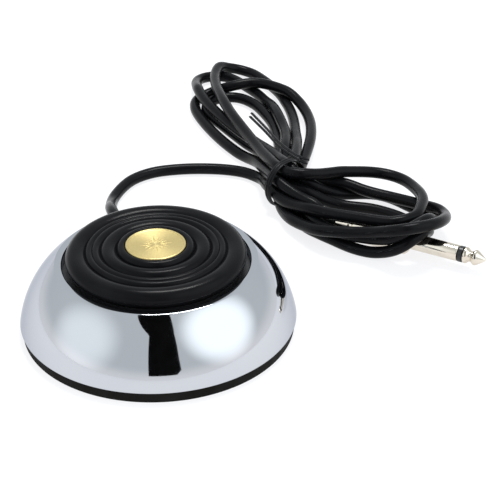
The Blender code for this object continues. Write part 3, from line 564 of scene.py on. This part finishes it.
class Shader:
    """A node material under construction, around one Principled shader."""

    def __init__(self, name, colour, roughness, metallic=0.0, **sockets):
        self.material = bpy.data.materials.new(name)
        self.material.use_nodes = True
        self.tree = self.material.node_tree
        self.shader = self.tree.nodes["Principled BSDF"]
        self.set("Base Color", (*colour, 1.0))
        self.set("Roughness", roughness)
        self.set("Metallic", metallic)
        for socket, value in sockets.items():
            self.set(socket.replace("_", " "), value)
        self.material.diffuse_color = (*colour, 1.0)

    def set(self, socket, value):
        self.shader.inputs[socket].default_value = value

    def node(self, kind, **values):
        made = self.tree.nodes.new(kind)
        for key, value in values.items():
            if key in made.bl_rna.properties:
                setattr(made, key, value)
            else:
                made.inputs[key.replace("_", " ")].default_value = value
        return made

    def link(self, source, target):
        self.tree.links.new(source, target)

    def place(self):
        """Object coordinates."""
        coordinates = self.node("ShaderNodeTexCoord")
        mapping = self.node("ShaderNodeMapping")
        self.link(coordinates.outputs["Object"], mapping.inputs["Vector"])
        return mapping.outputs["Vector"]

    def noise(self, scale, detail=4.0):
        noise = self.node("ShaderNodeTexNoise", Scale=scale, Detail=detail)
        self.link(self.place(), noise.inputs["Vector"])
        return noise.outputs["Fac"]

    def vary_roughness(self, scale, low, high):
        """A roughness that wanders between low and high."""
        limits = {"From Min": 0.3, "From Max": 0.7, "To Min": low, "To Max": high}
        ranged = self.node("ShaderNodeMapRange")
        for name, number in limits.items():
            ranged.inputs[name].default_value = number
        self.link(self.noise(scale), ranged.inputs["Value"])
        self.link(ranged.outputs["Result"], self.shader.inputs["Roughness"])

    def vary_colour(self, scale, dark, light):
        """A colour that wanders between dark and light."""
        ramp = self.node("ShaderNodeValToRGB")
        for element, position, colour in zip(ramp.color_ramp.elements, (0.32, 0.70), (dark, light)):
            element.position = position
            element.color = (*colour, 1.0)
        self.link(self.noise(scale), ramp.inputs["Fac"])
        self.link(ramp.outputs["Color"], self.shader.inputs["Base Color"])

    def bump(self, *layers):
        """Layers of (height output, strength, distance in metres), the coarsest first."""
        normal = None
        for height, strength, distance in layers:
            bump = self.node("ShaderNodeBump", Strength=strength, Distance=distance)
            self.link(height, bump.inputs["Height"])
            if normal is not None:
                self.link(normal, bump.inputs["Normal"])
            normal = bump.outputs["Normal"]
        self.link(normal, self.shader.inputs["Normal"])
        return self


def surface(name, colour, roughness, metallic, rough, shades, grain, **sockets):
    """A material: its plain values, then how its roughness and colour wander, then its layers of grain.

    rough is (scale, low, high), shades is (scale, dark, light), and each layer of grain, the coarsest first,
    is (scale, detail, strength, depth in metres).
    """
    s = Shader(name, colour, roughness, metallic, **sockets)
    s.vary_roughness(*rough)
    s.vary_colour(*shades)
    layers = [(s.noise(scale, detail), strength, depth) for scale, detail, strength, depth in grain]
    return s.bump(*layers).material


def medallion_brass(name, dark, light, low, high, grain, brushed):
    """Spun brass: fine scratches run round the disc, so its highlights fan out from the middle.

    Roughness wanders between low and high, grain is how deep the scratches are, and brushed how much they
    stretch a highlight.
    """
    s = Shader(name, light, (low + high) / 2, 1.0, Anisotropic=brushed, Anisotropic_Rotation=0.25)
    tangent = s.node("ShaderNodeTangent", direction_type="RADIAL", axis="Z")
    s.link(tangent.outputs["Tangent"], s.shader.inputs["Tangent"])
    separate = s.node("ShaderNodeSeparateXYZ")
    s.link(s.place(), separate.inputs["Vector"])
    across, up = separate.outputs["X"], separate.outputs["Y"]
    squares = []
    for output in (across, up):
        square = s.node("ShaderNodeMath", operation="MULTIPLY")
        s.link(output, square.inputs[0])
        s.link(output, square.inputs[1])
        squares.append(square)
    total = s.node("ShaderNodeMath", operation="ADD")
    for i, square in enumerate(squares):
        s.link(square.outputs[0], total.inputs[i])
    root = s.node("ShaderNodeMath", operation="SQRT")
    s.link(total.outputs[0], root.inputs[0])
    rings = s.node("ShaderNodeTexNoise", noise_dimensions="1D", Scale=5200.0, Detail=2.0)
    s.link(root.outputs[0], rings.inputs["W"])
    angle = s.node("ShaderNodeTexGradient", gradient_type="RADIAL")
    s.link(s.place(), angle.inputs["Vector"])
    rays = s.node("ShaderNodeTexNoise", noise_dimensions="1D", Scale=170.0, Detail=3.0, Roughness=0.6)
    s.link(angle.outputs["Fac"], rays.inputs["W"])
    s.vary_colour(2400.0, dark, light)
    s.vary_roughness(1800.0, low, high)
    ray_layer = (rays.outputs["Fac"], 0.35 * grain, 0.00002)
    ring_layer = (rings.outputs["Fac"], 0.25 * grain, 0.00002)
    return s.bump(ray_layer, ring_layer).material


def floor_paint():
    """Opal acrylic, lit from below, which keeps the shadows on it faint."""
    s = Shader("studio_floor", FLOOR_GREY, 0.7, Specular_IOR_Level=0.05)
    s.vary_colour(3.0, FLOOR_GREY, (0.23, 0.23, 0.23))
    s.set("Emission Color", (0.98, 0.98, 1.0, 1.0))
    s.set("Emission Strength", FLOOR_GLOW)
    return s.material


CHROME = surface(
    "chrome_plating", (0.56, 0.58, 0.62), 0.03, 1.0, (60.0, 0.02, 0.05),
    (35.0, (0.55, 0.57, 0.61), (0.575, 0.59, 0.625)),
    ((28.0, 1.0, 0.25, 0.00004), (900.0, 2.0, 0.03, 0.00001)), Specular_Tint=(0.62, 0.64, 0.68, 1.0),
)
PAD_RUBBER = surface(
    "pad_rubber", (0.010, 0.010, 0.009), 0.6, 0.0, (240.0, 0.5, 0.72),
    (160.0, (0.007, 0.007, 0.006), (0.012, 0.012, 0.011)), ((1400.0, 3.0, 0.35, 0.00006),),
    Specular_IOR_Level=0.05,
)
TREAD_RUBBER = surface(
    "tread_rubber", (0.006, 0.006, 0.007), 0.21, 0.0, (120.0, 0.18, 0.25),
    (90.0, (0.005, 0.005, 0.006), (0.008, 0.008, 0.009)),
    ((260.0, 2.0, 0.12, 0.00008), (2600.0, 2.0, 0.22, 0.00003)), Specular_IOR_Level=0.06,
)
CORD_VINYL = surface(
    "cord_vinyl", (0.005, 0.005, 0.006), 0.26, 0.0, (180.0, 0.22, 0.31),
    (120.0, (0.004, 0.004, 0.005), (0.006, 0.006, 0.007)),
    ((210.0, 2.0, 0.18, 0.00010), (2400.0, 2.0, 0.18, 0.00003)), Specular_IOR_Level=0.08,
)
TIE_PLASTIC = surface(
    "tie_plastic", (0.005, 0.005, 0.006), 0.3, 0.0, (300.0, 0.25, 0.36),
    (200.0, (0.004, 0.004, 0.005), (0.007, 0.007, 0.008)), ((900.0, 3.0, 0.3, 0.00005),),
    Specular_IOR_Level=0.15,
)
GLAND_RUBBER = surface(
    "gland_rubber", (0.007, 0.007, 0.007), 0.42, 0.0, (260.0, 0.36, 0.48),
    (180.0, (0.006, 0.006, 0.006), (0.009, 0.009, 0.010)), ((1800.0, 3.0, 0.3, 0.00004),),
    Specular_IOR_Level=0.15,
)
NICKEL = surface(
    "nickel_plating", (0.74, 0.68, 0.58), 0.08, 1.0, (150.0, 0.05, 0.12),
    (110.0, (0.69, 0.62, 0.52), (0.78, 0.73, 0.64)), ((1500.0, 3.0, 0.12, 0.00002),),
)
INSULATOR = surface(
    "insulator_plastic", (0.008, 0.008, 0.009), 0.3, 0.0, (400.0, 0.24, 0.38),
    (300.0, (0.006, 0.006, 0.007), (0.012, 0.012, 0.013)), ((2500.0, 2.0, 0.15, 0.00002),),
)
BLACK_PLASTIC = surface(
    "black_plastic", (0.024, 0.024, 0.026), 0.4, 0.0, (220.0, 0.33, 0.48),
    (150.0, (0.014, 0.014, 0.015), (0.024, 0.024, 0.026)), ((1700.0, 3.0, 0.3, 0.00004),),
)
WIRE_RED = surface(
    "wire_red", (0.50, 0.04, 0.04), 0.42, 0.0, (220.0, 0.35, 0.50),
    (150.0, (0.38, 0.02, 0.02), (0.50, 0.04, 0.04)), ((1700.0, 3.0, 0.3, 0.00004),),
)
ZINC = surface(
    "zinc_plating", (0.62, 0.63, 0.65), 0.34, 1.0, (170.0, 0.26, 0.44),
    (80.0, (0.55, 0.56, 0.57), (0.69, 0.70, 0.72)), ((1200.0, 4.0, 0.25, 0.00003),),
)
BRASS = surface(
    "drawn_brass", (0.78, 0.60, 0.28), 0.3, 1.0, (200.0, 0.22, 0.38),
    (130.0, (0.70, 0.52, 0.22), (0.84, 0.67, 0.36)), ((1500.0, 3.0, 0.2, 0.00003),),
)
MEDAL_FACE = medallion_brass(
    "medallion_face", (0.63, 0.50, 0.21), (0.73, 0.59, 0.27), low=0.32, high=0.42, grain=1.2, brushed=0.45,
)
MEDAL_RELIEF = medallion_brass(
    "medallion_relief", (0.52, 0.41, 0.17), (0.60, 0.48, 0.21), low=0.45, high=0.52, grain=0.1, brushed=0.0,
)


# ---------------------------------------------------------------- the pedal


# Profiles of radius and height in mm. The bore's heights are distances from the pedal's axis.
BORE = ((0, 54), (3.5, 54), (3.5, 42), (0, 42))
LUG = ((1.8, 5.6), (3.0, 5.6), (3.3, 5.9), (3.3, 13.4), (3.0, 14.2), (1.8, 14.2))
SCREW_WELL = ((0, -1), (3.6, -1), (3.6, 6), (0, 6))


def in_metres(profile):
    return [(r * MM, z * MM) for r, z in profile]


def screw_matrix(angle):
    return Matrix.Translation((*on_circle(SCREW_RADIUS, angle), 0))


def flank(inset, count):
    """The bowl's outer flank from its shoulder down to its foot, as an arc, moved in by the given inset."""
    foot = Vector((SHELL_R, SHELL_FOOT_Z + FOOT_LIFT))
    top = Vector((SHELL_SHOULDER_R, SHELL_TOP_Z - SHELL_SHOULDER_DROP))
    chord = foot - top
    inward = Vector((chord.y, -chord.x)).normalized()
    centre = (foot + top) / 2 + inward * math.sqrt(SHELL_ARC_R**2 - (chord.length / 2) ** 2)
    start = math.degrees(math.atan2(top.y - centre.y, top.x - centre.x))
    end = math.degrees(math.atan2(foot.y - centre.y, foot.x - centre.x))
    return arc(centre, SHELL_ARC_R - inset, start, end, count)


def build_shell():
    """The bowl: a flared flank, a rounded shoulder, a flat rim and a lip turned down inside the opening."""
    turn = SHELL_EDGE * math.cos(math.radians(SHELL_SHOULDER_SLOPE))
    edge_z = SHELL_TOP_Z - SHELL_EDGE
    shoulder = arc((SHELL_SHOULDER_R - turn, edge_z), SHELL_EDGE, 90, SHELL_SHOULDER_SLOPE, 7)
    mouth = arc((SHELL_OPENING_R + SHELL_EDGE, edge_z), SHELL_EDGE, 180, 90, 9)
    outer = flank(0.0, 40)[1:]
    inner = flank(SHELL_WALL, 24)
    inner_top = [
        (SHELL_OPENING_R + SHELL_WALL, SHELL_TOP_Z - SHELL_WALL), (SHELL_OPENING_R + SHELL_WALL, SHELL_LIP_Z),
        (SHELL_OPENING_R, SHELL_LIP_Z),
    ]
    foot = rounded([outer[-2], outer[-1], inner[-1], inner[-2]], SHELL_FOOT_EDGE)[1:-1]
    profile = [*mouth, *shoulder, *outer[:-1], *foot, *reversed(inner[:-1]), *inner_top]
    shell = turned("bowl", profile, ROUND, closed=True)
    cut(shell, turned("bore", in_metres(BORE), 48, exit_matrix()))
    for number, angle in enumerate(SCREW_ANGLES, 1):
        lug = turned(f"bowl_lug_{number}", in_metres(LUG), 32, screw_matrix(angle), closed=True)
        dress(lug, "base", "chrome_plate", CHROME)
    dress(shell, "base", "chrome_plate", CHROME, "outer_shell")


def build_pad():
    """The rubber foot: a thin disc with a raised bead round its edge and three screw recesses."""
    top, r = PAD_TOP_Z, PAD_R + PAD_GROWTH
    edge = 0.25 * MM
    bead = top + FOOT_LIFT
    outline = [
        (0, 0), (r - edge, 0), (r, edge), (r, bead - edge), (r - edge, bead), (r - 1.0 * MM, bead),
        (r - 1.5 * MM, top), (0, top),
    ]
    pad = turned("rubber_foot", rounded(outline, 0.2 * MM), ROUND)
    cut(pad, *(turned("well", in_metres(SCREW_WELL), 40, screw_matrix(angle)) for angle in SCREW_ANGLES))
    dress(pad, "base", "black_rubber", PAD_RUBBER, "base_pad")


# Radius and height in mm along the treadle's face. A groove's bottom is a sharp fold; the rest is rounded.
TREAD_WAVES = (
    ((11.1, 33.7), (11.5, 34.0), (12.3, 34.05), (13.1, 33.75), (13.7, 33.0), (14.05, 32.2)),
    ((14.05, 32.2), (14.6, 32.75), (15.6, 33.3), (16.9, 33.55), (18.2, 33.35), (19.1, 32.75), (19.75, 31.9)),
    ((19.75, 31.9), (20.3, 32.45), (21.1, 32.9), (21.8, 32.9), (22.3, 32.7), (22.65, 32.35)),
    ((22.65, 32.35), (23.1, 32.65), (23.7, 32.8), (24.4, 32.6), (24.9, 32.15), (25.25, 31.55)),
    ((25.25, 31.55), (25.9, 32.1), (27.0, 32.6), (28.3, 32.8), (29.6, 32.65), (30.7, 32.15), (31.6, 31.3),
     (32.15, 30.3), (32.3, 29.2), (32.15, 28.2), (31.7, 27.4), (31.2, 26.9)),
)


TREAD_BOTTOM_R = 31.0 * MM


def tread_face():
    """The treadle's ribbed face, from the medallion's seat out and down to its lower edge."""
    face = []
    for wave in TREAD_WAVES:
        knots = np.array([(r, z, 0.0) for r, z in wave])
        line = smooth_line(knots, 5)[:, :2]
        face += in_metres(line if not face else line[1:])
    return face


def build_treadle():
    """The ribbed pad, with a flat seat for the medallion."""
    seat_z = MEDALLION_LOW_Z - GAP
    bottom = [(TREAD_BOTTOM_R, TREAD_BOTTOM_Z), (0, TREAD_BOTTOM_Z)]
    profile = [(0, seat_z), (MEDALLION_R + GAP, seat_z), *tread_face(), *bottom]
    pad = turned("treadle_pad", profile, ROUND, sharp_angle=45.0)
    dress(pad, "treadle", "black_rubber", TREAD_RUBBER, "tread_pad")


def ray(angle, inner, outer, half_width, low, high):
    """One ray of the sunburst, angles in degrees: a long flat pyramid, highest a third of the way out."""
    mid = inner + (outer - inner) * 0.30
    root, ridge, tip = (on_circle(radius, angle) for radius in (inner, mid, outer))
    left, right = on_circle(mid, angle + half_width), on_circle(mid, angle - half_width)
    verts = [(*root, low), (*left, low), (*tip, low), (*right, low), (*ridge, high)]
    faces = [(0, 4, 1), (1, 4, 2), (2, 4, 3), (3, 4, 0), (0, 1, 2, 3)]
    return verts, faces


def build_medallion():
    """A thin brass disc with a raised rim and a plain sunburst of eight long and eight short rays."""
    base, top, r = MEDALLION_LOW_Z, MEDALLION_TOP_Z, MEDALLION_R
    field, rim = top - 0.28 * MM, top - 0.02 * MM
    outline = [
        (0, base), (r - 0.1 * MM, base), (r, base + 0.15 * MM), (r, top - 0.25 * MM),
        (r - 0.25 * MM, rim), (r - 0.75 * MM, rim), (r - 1.0 * MM, field), (0, field),
    ]
    disc = turned("medallion_disc", rounded(outline, 0.12 * MM, 3), ROUND)
    dress(disc, "treadle", "brass", MEDAL_FACE, "medallion")
    verts, faces = [], []
    low, high = field - 0.05 * MM, field + 0.06 * MM
    rays = [(11 + 45.0 * k, 0.2 * MM, 8.4 * MM, 17) for k in range(8)]
    rays += [(11 + 45.0 * (k + 0.5), 1.2 * MM, 6.6 * MM, 8) for k in range(8)]
    for angle, inner, outer, half_width in rays:
        new_verts, new_faces = ray(angle, inner, outer, half_width, low, high)
        faces += [tuple(i + len(verts) for i in face) for face in new_faces]
        verts += new_verts
    dress(mesh_object("medallion_sunburst", verts, faces), "treadle", "brass", MEDAL_RELIEF)


def build_gland():
    """The ribbed, tapered strain relief where the cord leaves the bowl."""
    outline = [  # radius and distance from the pedal's axis, in mm
        (2.6, 42.0), (4.2, 42.0), (4.2, 44.8), (3.2, 45.0), (3.2, 50.2), (5.1, 50.5), (5.1, 51.8),
        (4.4, 52.4), (4.4, 54.2), (3.9, 54.6), (4.0, 56.2), (3.5, 56.6), (3.6, 58.2), (3.2, 58.6),
        (3.2, 60.2), (3.0, 60.6), (3.0, GLAND_END / MM), (2.6, GLAND_END / MM),
    ]
    profile = rounded(in_metres(outline), 0.35 * MM, 3, closed=True)
    gland = turned("strain_relief", profile, FINE_ROUND, exit_matrix(), closed=True, sharp_angle=60.0)
    return dress(gland, "base", "black_rubber", GLAND_RUBBER, "cord_gland")


# ---------------------------------------------------------------- the plug


def plug_piece(name, outline, surface, slot, node, corner=0.25):
    """One turned piece of the plug, its corners rounded by so many mm."""
    profile = rounded(in_metres(outline), corner * MM, 4)
    piece = turned(name, profile, FINE_ROUND, plug_matrix(), sharp_angle=60.0)
    return dress(piece, "base", slot, surface, node)


def build_plug():
    back = -PLUG_BARREL_LENGTH / MM
    tip_at = PLUG_TIP_AT / MM
    barrel = [  # radius and distance along the barrel, in mm
        (0.0, 0.0), (4.9, 0.0), (5.7, -0.8), (5.7, -3.4), (5.2, -3.8), (5.2, -4.6), (5.7, -5.0), (5.7, -22.0),
        (5.2, -22.4), (5.2, -23.6), (5.6, -24.0), (4.9, -29.4), (4.5, back), (0.0, back),
    ]
    boot = [
        (0.0, -30.3), (3.9, -30.3), (3.9, -31.6), (3.3, -32.0), (3.5, -33.6), (3.0, -34.0), (3.0, -35.6),
        (0.0, -35.6),
    ]
    sleeve = [(0.0, 20.7), (2.95, 20.7), (3.175, 20.45), (3.175, 0.3), (0.0, 0.3)]
    ring = [(0.0, 22.7), (3.1, 22.7), (3.12, 22.6), (3.12, 21.1), (3.1, 21.0), (0.0, 21.0)]
    tip = [  # distance back from the plug's point
        (0.0, 0.0), (0.5, -0.1), (1.2, -0.9), (2.9, -3.4), (3.1, -4.1), (2.9, -4.6), (2.2, -5.6), (2.1, -6.2),
        (2.4, -6.7), (3.0, -7.2), (3.17, -7.7), (3.17, -8.6), (0.0, -8.6),
    ]
    tip = [(r, tip_at + d) for r, d in tip]
    return [
        plug_piece("jack_barrel", barrel, NICKEL, "nickel_plate", "plug_barrel"),
        plug_piece("jack_boot", boot, GLAND_RUBBER, "black_rubber", "plug_boot"),
        plug_piece("jack_sleeve", sleeve, NICKEL, "nickel_plate", "plug_sleeve", 0.15),
        plug_piece("jack_ring", ring, INSULATOR, "black_plastic", "plug_insulator", 0.08),
        plug_piece("jack_tip", tip, NICKEL, "nickel_plate", "plug_tip", 0.4),
    ]


# ---------------------------------------------------------------- the tie

TIE_SPAN = (-1.5, 1.5)  # how far along the bundle the ribbon starts and ends, mm
TIE_START = math.radians(60)
TIE_WINDINGS = 2
TIE_HALF_WIDTH = 0.8 * MM
TAIL_HALF_WIDTH = 0.6 * MM
TAIL_FACES = np.array([0.1, -0.3, 1.0])
TIE_SLACK = 1.3 * MM  # how far the ribbon stands off the bundle at its loosest
TIE_SLACK_AT = math.radians(190)
# Places in mm that the ribbon's two loose ends pass, from the knot to their cut ends
TIE_TAILS = (
    ((54.6, 92.6, 18.0), (57.4, 93.2, 16.4), (53.3, 99.0, 15.3), (46.8, 112.1, 13.9), (40.5, 129.0, 12.9),
     (34.9, 144.3, 11.8)),
    ((53.8, 91.8, 17.2), (56.6, 92.2, 15.2), (52.7, 98.7, 14.2), (46.2, 111.8, 12.8), (39.9, 128.3, 11.9),
     (34.2, 142.6, 11.0)),
)


def ribbon(name, line, half_width, thickness, face_up):
    """A flat ribbon with a wire down its middle: a lens-shaped section swept along the line.

    face_up gives the side that the ribbon's flat face looks to at a point.
    """
    line = np.array(line, float)
    count = len(line)
    ahead = np.gradient(line, axis=0)
    ahead /= np.linalg.norm(ahead, axis=1)[:, None]
    up = np.array([face_up(p) for p in line])
    up -= (up * ahead).sum(1)[:, None] * ahead
    up /= np.linalg.norm(up, axis=1)[:, None]
    side = np.cross(ahead, up)
    section = []
    for share in np.linspace(-1, 1, 9):
        swell = thickness * (0.28 + 0.72 * math.exp(-((share / 0.33) ** 2)))
        section.append((share * half_width, swell))
    section += [(x, -h) for x, h in reversed(section)]
    verts, faces = [], []
    ring = len(section)
    for i in range(count):
        verts += [tuple(line[i] + side[i] * x + up[i] * h) for x, h in section]
    for i in range(count - 1):
        for j in range(ring):
            k = (j + 1) % ring
            faces.append((i * ring + j, i * ring + k, (i + 1) * ring + k, (i + 1) * ring + j))
    faces.append(tuple(range(ring)))
    faces.append(tuple(reversed(range((count - 1) * ring, count * ring))))
    obj = mesh_object(name, verts, faces)
    finish_mesh(obj.data, 50.0)
    return obj


def build_tie():
    """A ribbon wound round the bundle, with its two ends laid over the far lobe."""
    along, across, up = tie_axes()
    centre = np.array(TIE_CENTRE) / MM
    turns = np.linspace(0, 2 * math.pi * TIE_WINDINGS, 150)
    drift = np.linspace(*TIE_SPAN, len(turns))
    ring = []
    for a, d in zip(turns + TIE_START, drift):
        slack = TIE_SLACK * max(0.0, math.cos(a - TIE_SLACK_AT))
        radius = (TIE_RING_R + slack) / MM
        ring.append(centre + along * d + radius * (math.cos(a) * across + math.sin(a) * up))

    def outwards(point):
        out = point - centre * MM
        return out - (out @ along) * along

    loop = ribbon("tie_loop", np.array(ring) * MM, TIE_HALF_WIDTH, 0.5 * MM, outwards)
    dress(loop, "base", "black_plastic", TIE_PLASTIC, "cord_tie")
    pieces = [loop]
    for number, places in enumerate(TIE_TAILS, 1):
        line = evenly(smooth_line(np.array(places), 12), 0.8) * MM
        tail = ribbon(f"tie_tail_{number}", line, TAIL_HALF_WIDTH, 0.45 * MM, lambda point: TAIL_FACES)
        pieces.append(dress(tail, "base", "black_plastic", TIE_PLASTIC))
    return pieces


# ---------------------------------------------------------------- the cord


def build_cord():
    """The loose cord, from the gland to the plug, as one round tube."""
    line = settled_cord()
    knots = line[::2] if len(line) % 2 else np.vstack([line[::2], line[-1:]])
    fine = evenly(smooth_line(knots, 6), FINE_STEP) * MM
    cord = round_tube("loose_cord", fine, CORD_D / 2)
    cord.data.materials.append(CORD_VINYL)
    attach(cord, "base")
    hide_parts("cord_lead", "cord_bundle_far", "cord_bundle_near")


# ---------------------------------------------------------------- CAD nodes that stay


def numbered(name, count):
    return [f"{name}_{number}" for number in range(1, count + 1)]


CARRIED = {
    ZINC: (
        "base_plate", "switch_bracket", "bracket_screw", "switch_lever", *numbered("base_screw", 3),
        *numbered("frame_screw", 2), *numbered("guide_post", 3), *numbered("return_spring", 3),
        *numbered("switch_screw", 2), *numbered("clamp_screw", 2), *numbered("tread_screw", 3),
    ),
    BRASS: numbered("switch_terminal", 2),
    BLACK_PLASTIC: (
        "inner_frame", "switch_case", "cord_clamp", "tread_carrier", "actuator_pin", "switch_wire_2",
    ),
    WIRE_RED: ("switch_wire_1", "switch_button"),
    CORD_VINYL: ("cord_tail",),
}


def paint_carried():
    for surface, names in CARRIED.items():
        for name in names:
            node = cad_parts[name]
            node.data.materials.clear()
            node.data.materials.append(surface)


# ---------------------------------------------------------------- studio


def build_floor():
    bpy.ops.mesh.primitive_plane_add(size=6.0, location=(0, 0, -0.02 * MM))
    floor = bpy.context.object
    floor.name = "studio_floor"
    floor.data.materials.append(floor_paint())


def build_softbox():
    """A soft lamp above and behind the pedal."""
    data = bpy.data.lights.new("top_softbox", "AREA")
    data.shape = "RECTANGLE"
    data.size, data.size_y = SOFTBOX_SIZE
    data.energy = SOFTBOX_POWER
    lamp = link(bpy.data.objects.new("top_softbox", data))
    lamp.location = SOFTBOX_PLACE
    aim = Vector(SOFTBOX_TARGET) - Vector(SOFTBOX_PLACE)
    lamp.rotation_euler = aim.to_track_quat("-Z", "Y").to_euler()


def direction(azimuth, elevation):
    """A unit vector from its azimuth, counted from -Y towards +X, and its elevation, both in degrees."""
    a, e = math.radians(azimuth), math.radians(elevation)
    return Vector((math.sin(a) * math.cos(e), -math.cos(a) * math.cos(e), math.sin(e)))


def build_flag():
    """A dark cloth behind the camera that only reflections see, narrower below, with a step on its left."""
    verts, faces = [], []
    for elevation in np.linspace(FLAG_LEFT[0][0], FLAG_LEFT[-1][0], FLAG_ROWS):
        left = np.interp(elevation, *zip(*FLAG_LEFT))
        right = np.interp(elevation, *zip(*FLAG_RIGHT))
        azimuths = np.linspace(left, right, FLAG_COLUMNS)
        verts += [FLAG_SEEN_FROM + direction(azimuth, elevation) for azimuth in azimuths]
    for row in range(FLAG_ROWS - 1):
        for column in range(FLAG_COLUMNS - 1):
            low = row * FLAG_COLUMNS + column
            high = low + FLAG_COLUMNS
            faces.append((low, low + 1, high + 1, high))
    mesh = bpy.data.meshes.new("flag")
    mesh.from_pydata(verts, [], faces)
    flag = link(bpy.data.objects.new("flag", mesh))
    s = Shader("flag_cloth", (0.004, 0.004, 0.004), 0.9, Specular_IOR_Level=0.0)
    s.vary_colour(6.0, (0.003, 0.003, 0.003), (0.005, 0.005, 0.005))
    mesh.materials.append(s.material)
    flag.visible_camera = False
    flag.visible_diffuse = False
    flag.visible_shadow = False


def build_sky():
    """A grey studio, bright at the floor's horizon, with two large soft lamps."""
    world = bpy.data.worlds.new("studio")
    bpy.context.scene.world = world
    world.use_nodes = True
    tree = world.node_tree
    ray = tree.nodes.new("ShaderNodeTexCoord").outputs["Generated"]

    def step(value, start, end, low, high):
        """A smooth step from low to high while the value runs from start to end."""
        ranged = tree.nodes.new("ShaderNodeMapRange")
        ranged.interpolation_type = "SMOOTHSTEP"
        for name, number in (("From Min", start), ("From Max", end), ("To Min", low), ("To Max", high)):
            ranged.inputs[name].default_value = number
        tree.links.new(value, ranged.inputs["Value"])
        return ranged.outputs["Result"]

    separate = tree.nodes.new("ShaderNodeSeparateXYZ")
    tree.links.new(ray, separate.inputs["Vector"])
    total = step(separate.outputs["Z"], *SKY_HORIZON)
    for azimuth, elevation, inner, outer, glow in SKY_LAMPS:
        dot = tree.nodes.new("ShaderNodeVectorMath")
        dot.operation = "DOT_PRODUCT"
        dot.inputs[1].default_value = direction(azimuth, elevation)
        tree.links.new(ray, dot.inputs[0])
        edge, core = math.cos(math.radians(outer)), math.cos(math.radians(inner))
        lamp = step(dot.outputs["Value"], edge, core, 0.0, glow)
        add = tree.nodes.new("ShaderNodeMath")
        add.operation = "ADD"
        tree.links.new(total, add.inputs[0])
        tree.links.new(lamp, add.inputs[1])
        total = add.outputs[0]
    tint = tree.nodes.new("ShaderNodeCombineColor")
    for channel, (low, high) in SKY_TINT.items():
        tree.links.new(step(separate.outputs["Z"], *SKY_HORIZON[:2], low, high), tint.inputs[channel])
    background = tree.nodes["Background"]
    tree.links.new(tint.outputs["Color"], background.inputs["Color"])
    tree.links.new(total, background.inputs["Strength"])


def build_studio():
    build_floor()
    build_sky()
    build_flag()
    build_softbox()
    scene = bpy.context.scene
    scene.view_settings.view_transform = "Standard"
    scene.view_settings.look = "None"


def build_camera():
    data = bpy.data.cameras.new("camera")
    data.lens = CAMERA_LENS
    data.sensor_width = CAMERA_SENSOR
    data.clip_start = 0.01
    camera = link(bpy.data.objects.new("camera", data))
    turn = Matrix.Rotation(CAMERA_TILT, 4, "X") @ Matrix.Rotation(CAMERA_ROLL, 4, "Z")
    camera.matrix_world = Matrix.Translation(CAMERA_PLACE) @ turn
    bpy.context.scene.camera = camera


build_camera()
build_studio()
build_shell()
build_pad()
build_treadle()
build_medallion()
paint_carried()
gland = build_gland()
plug = build_plug()
tie = build_tie()
build_cord()
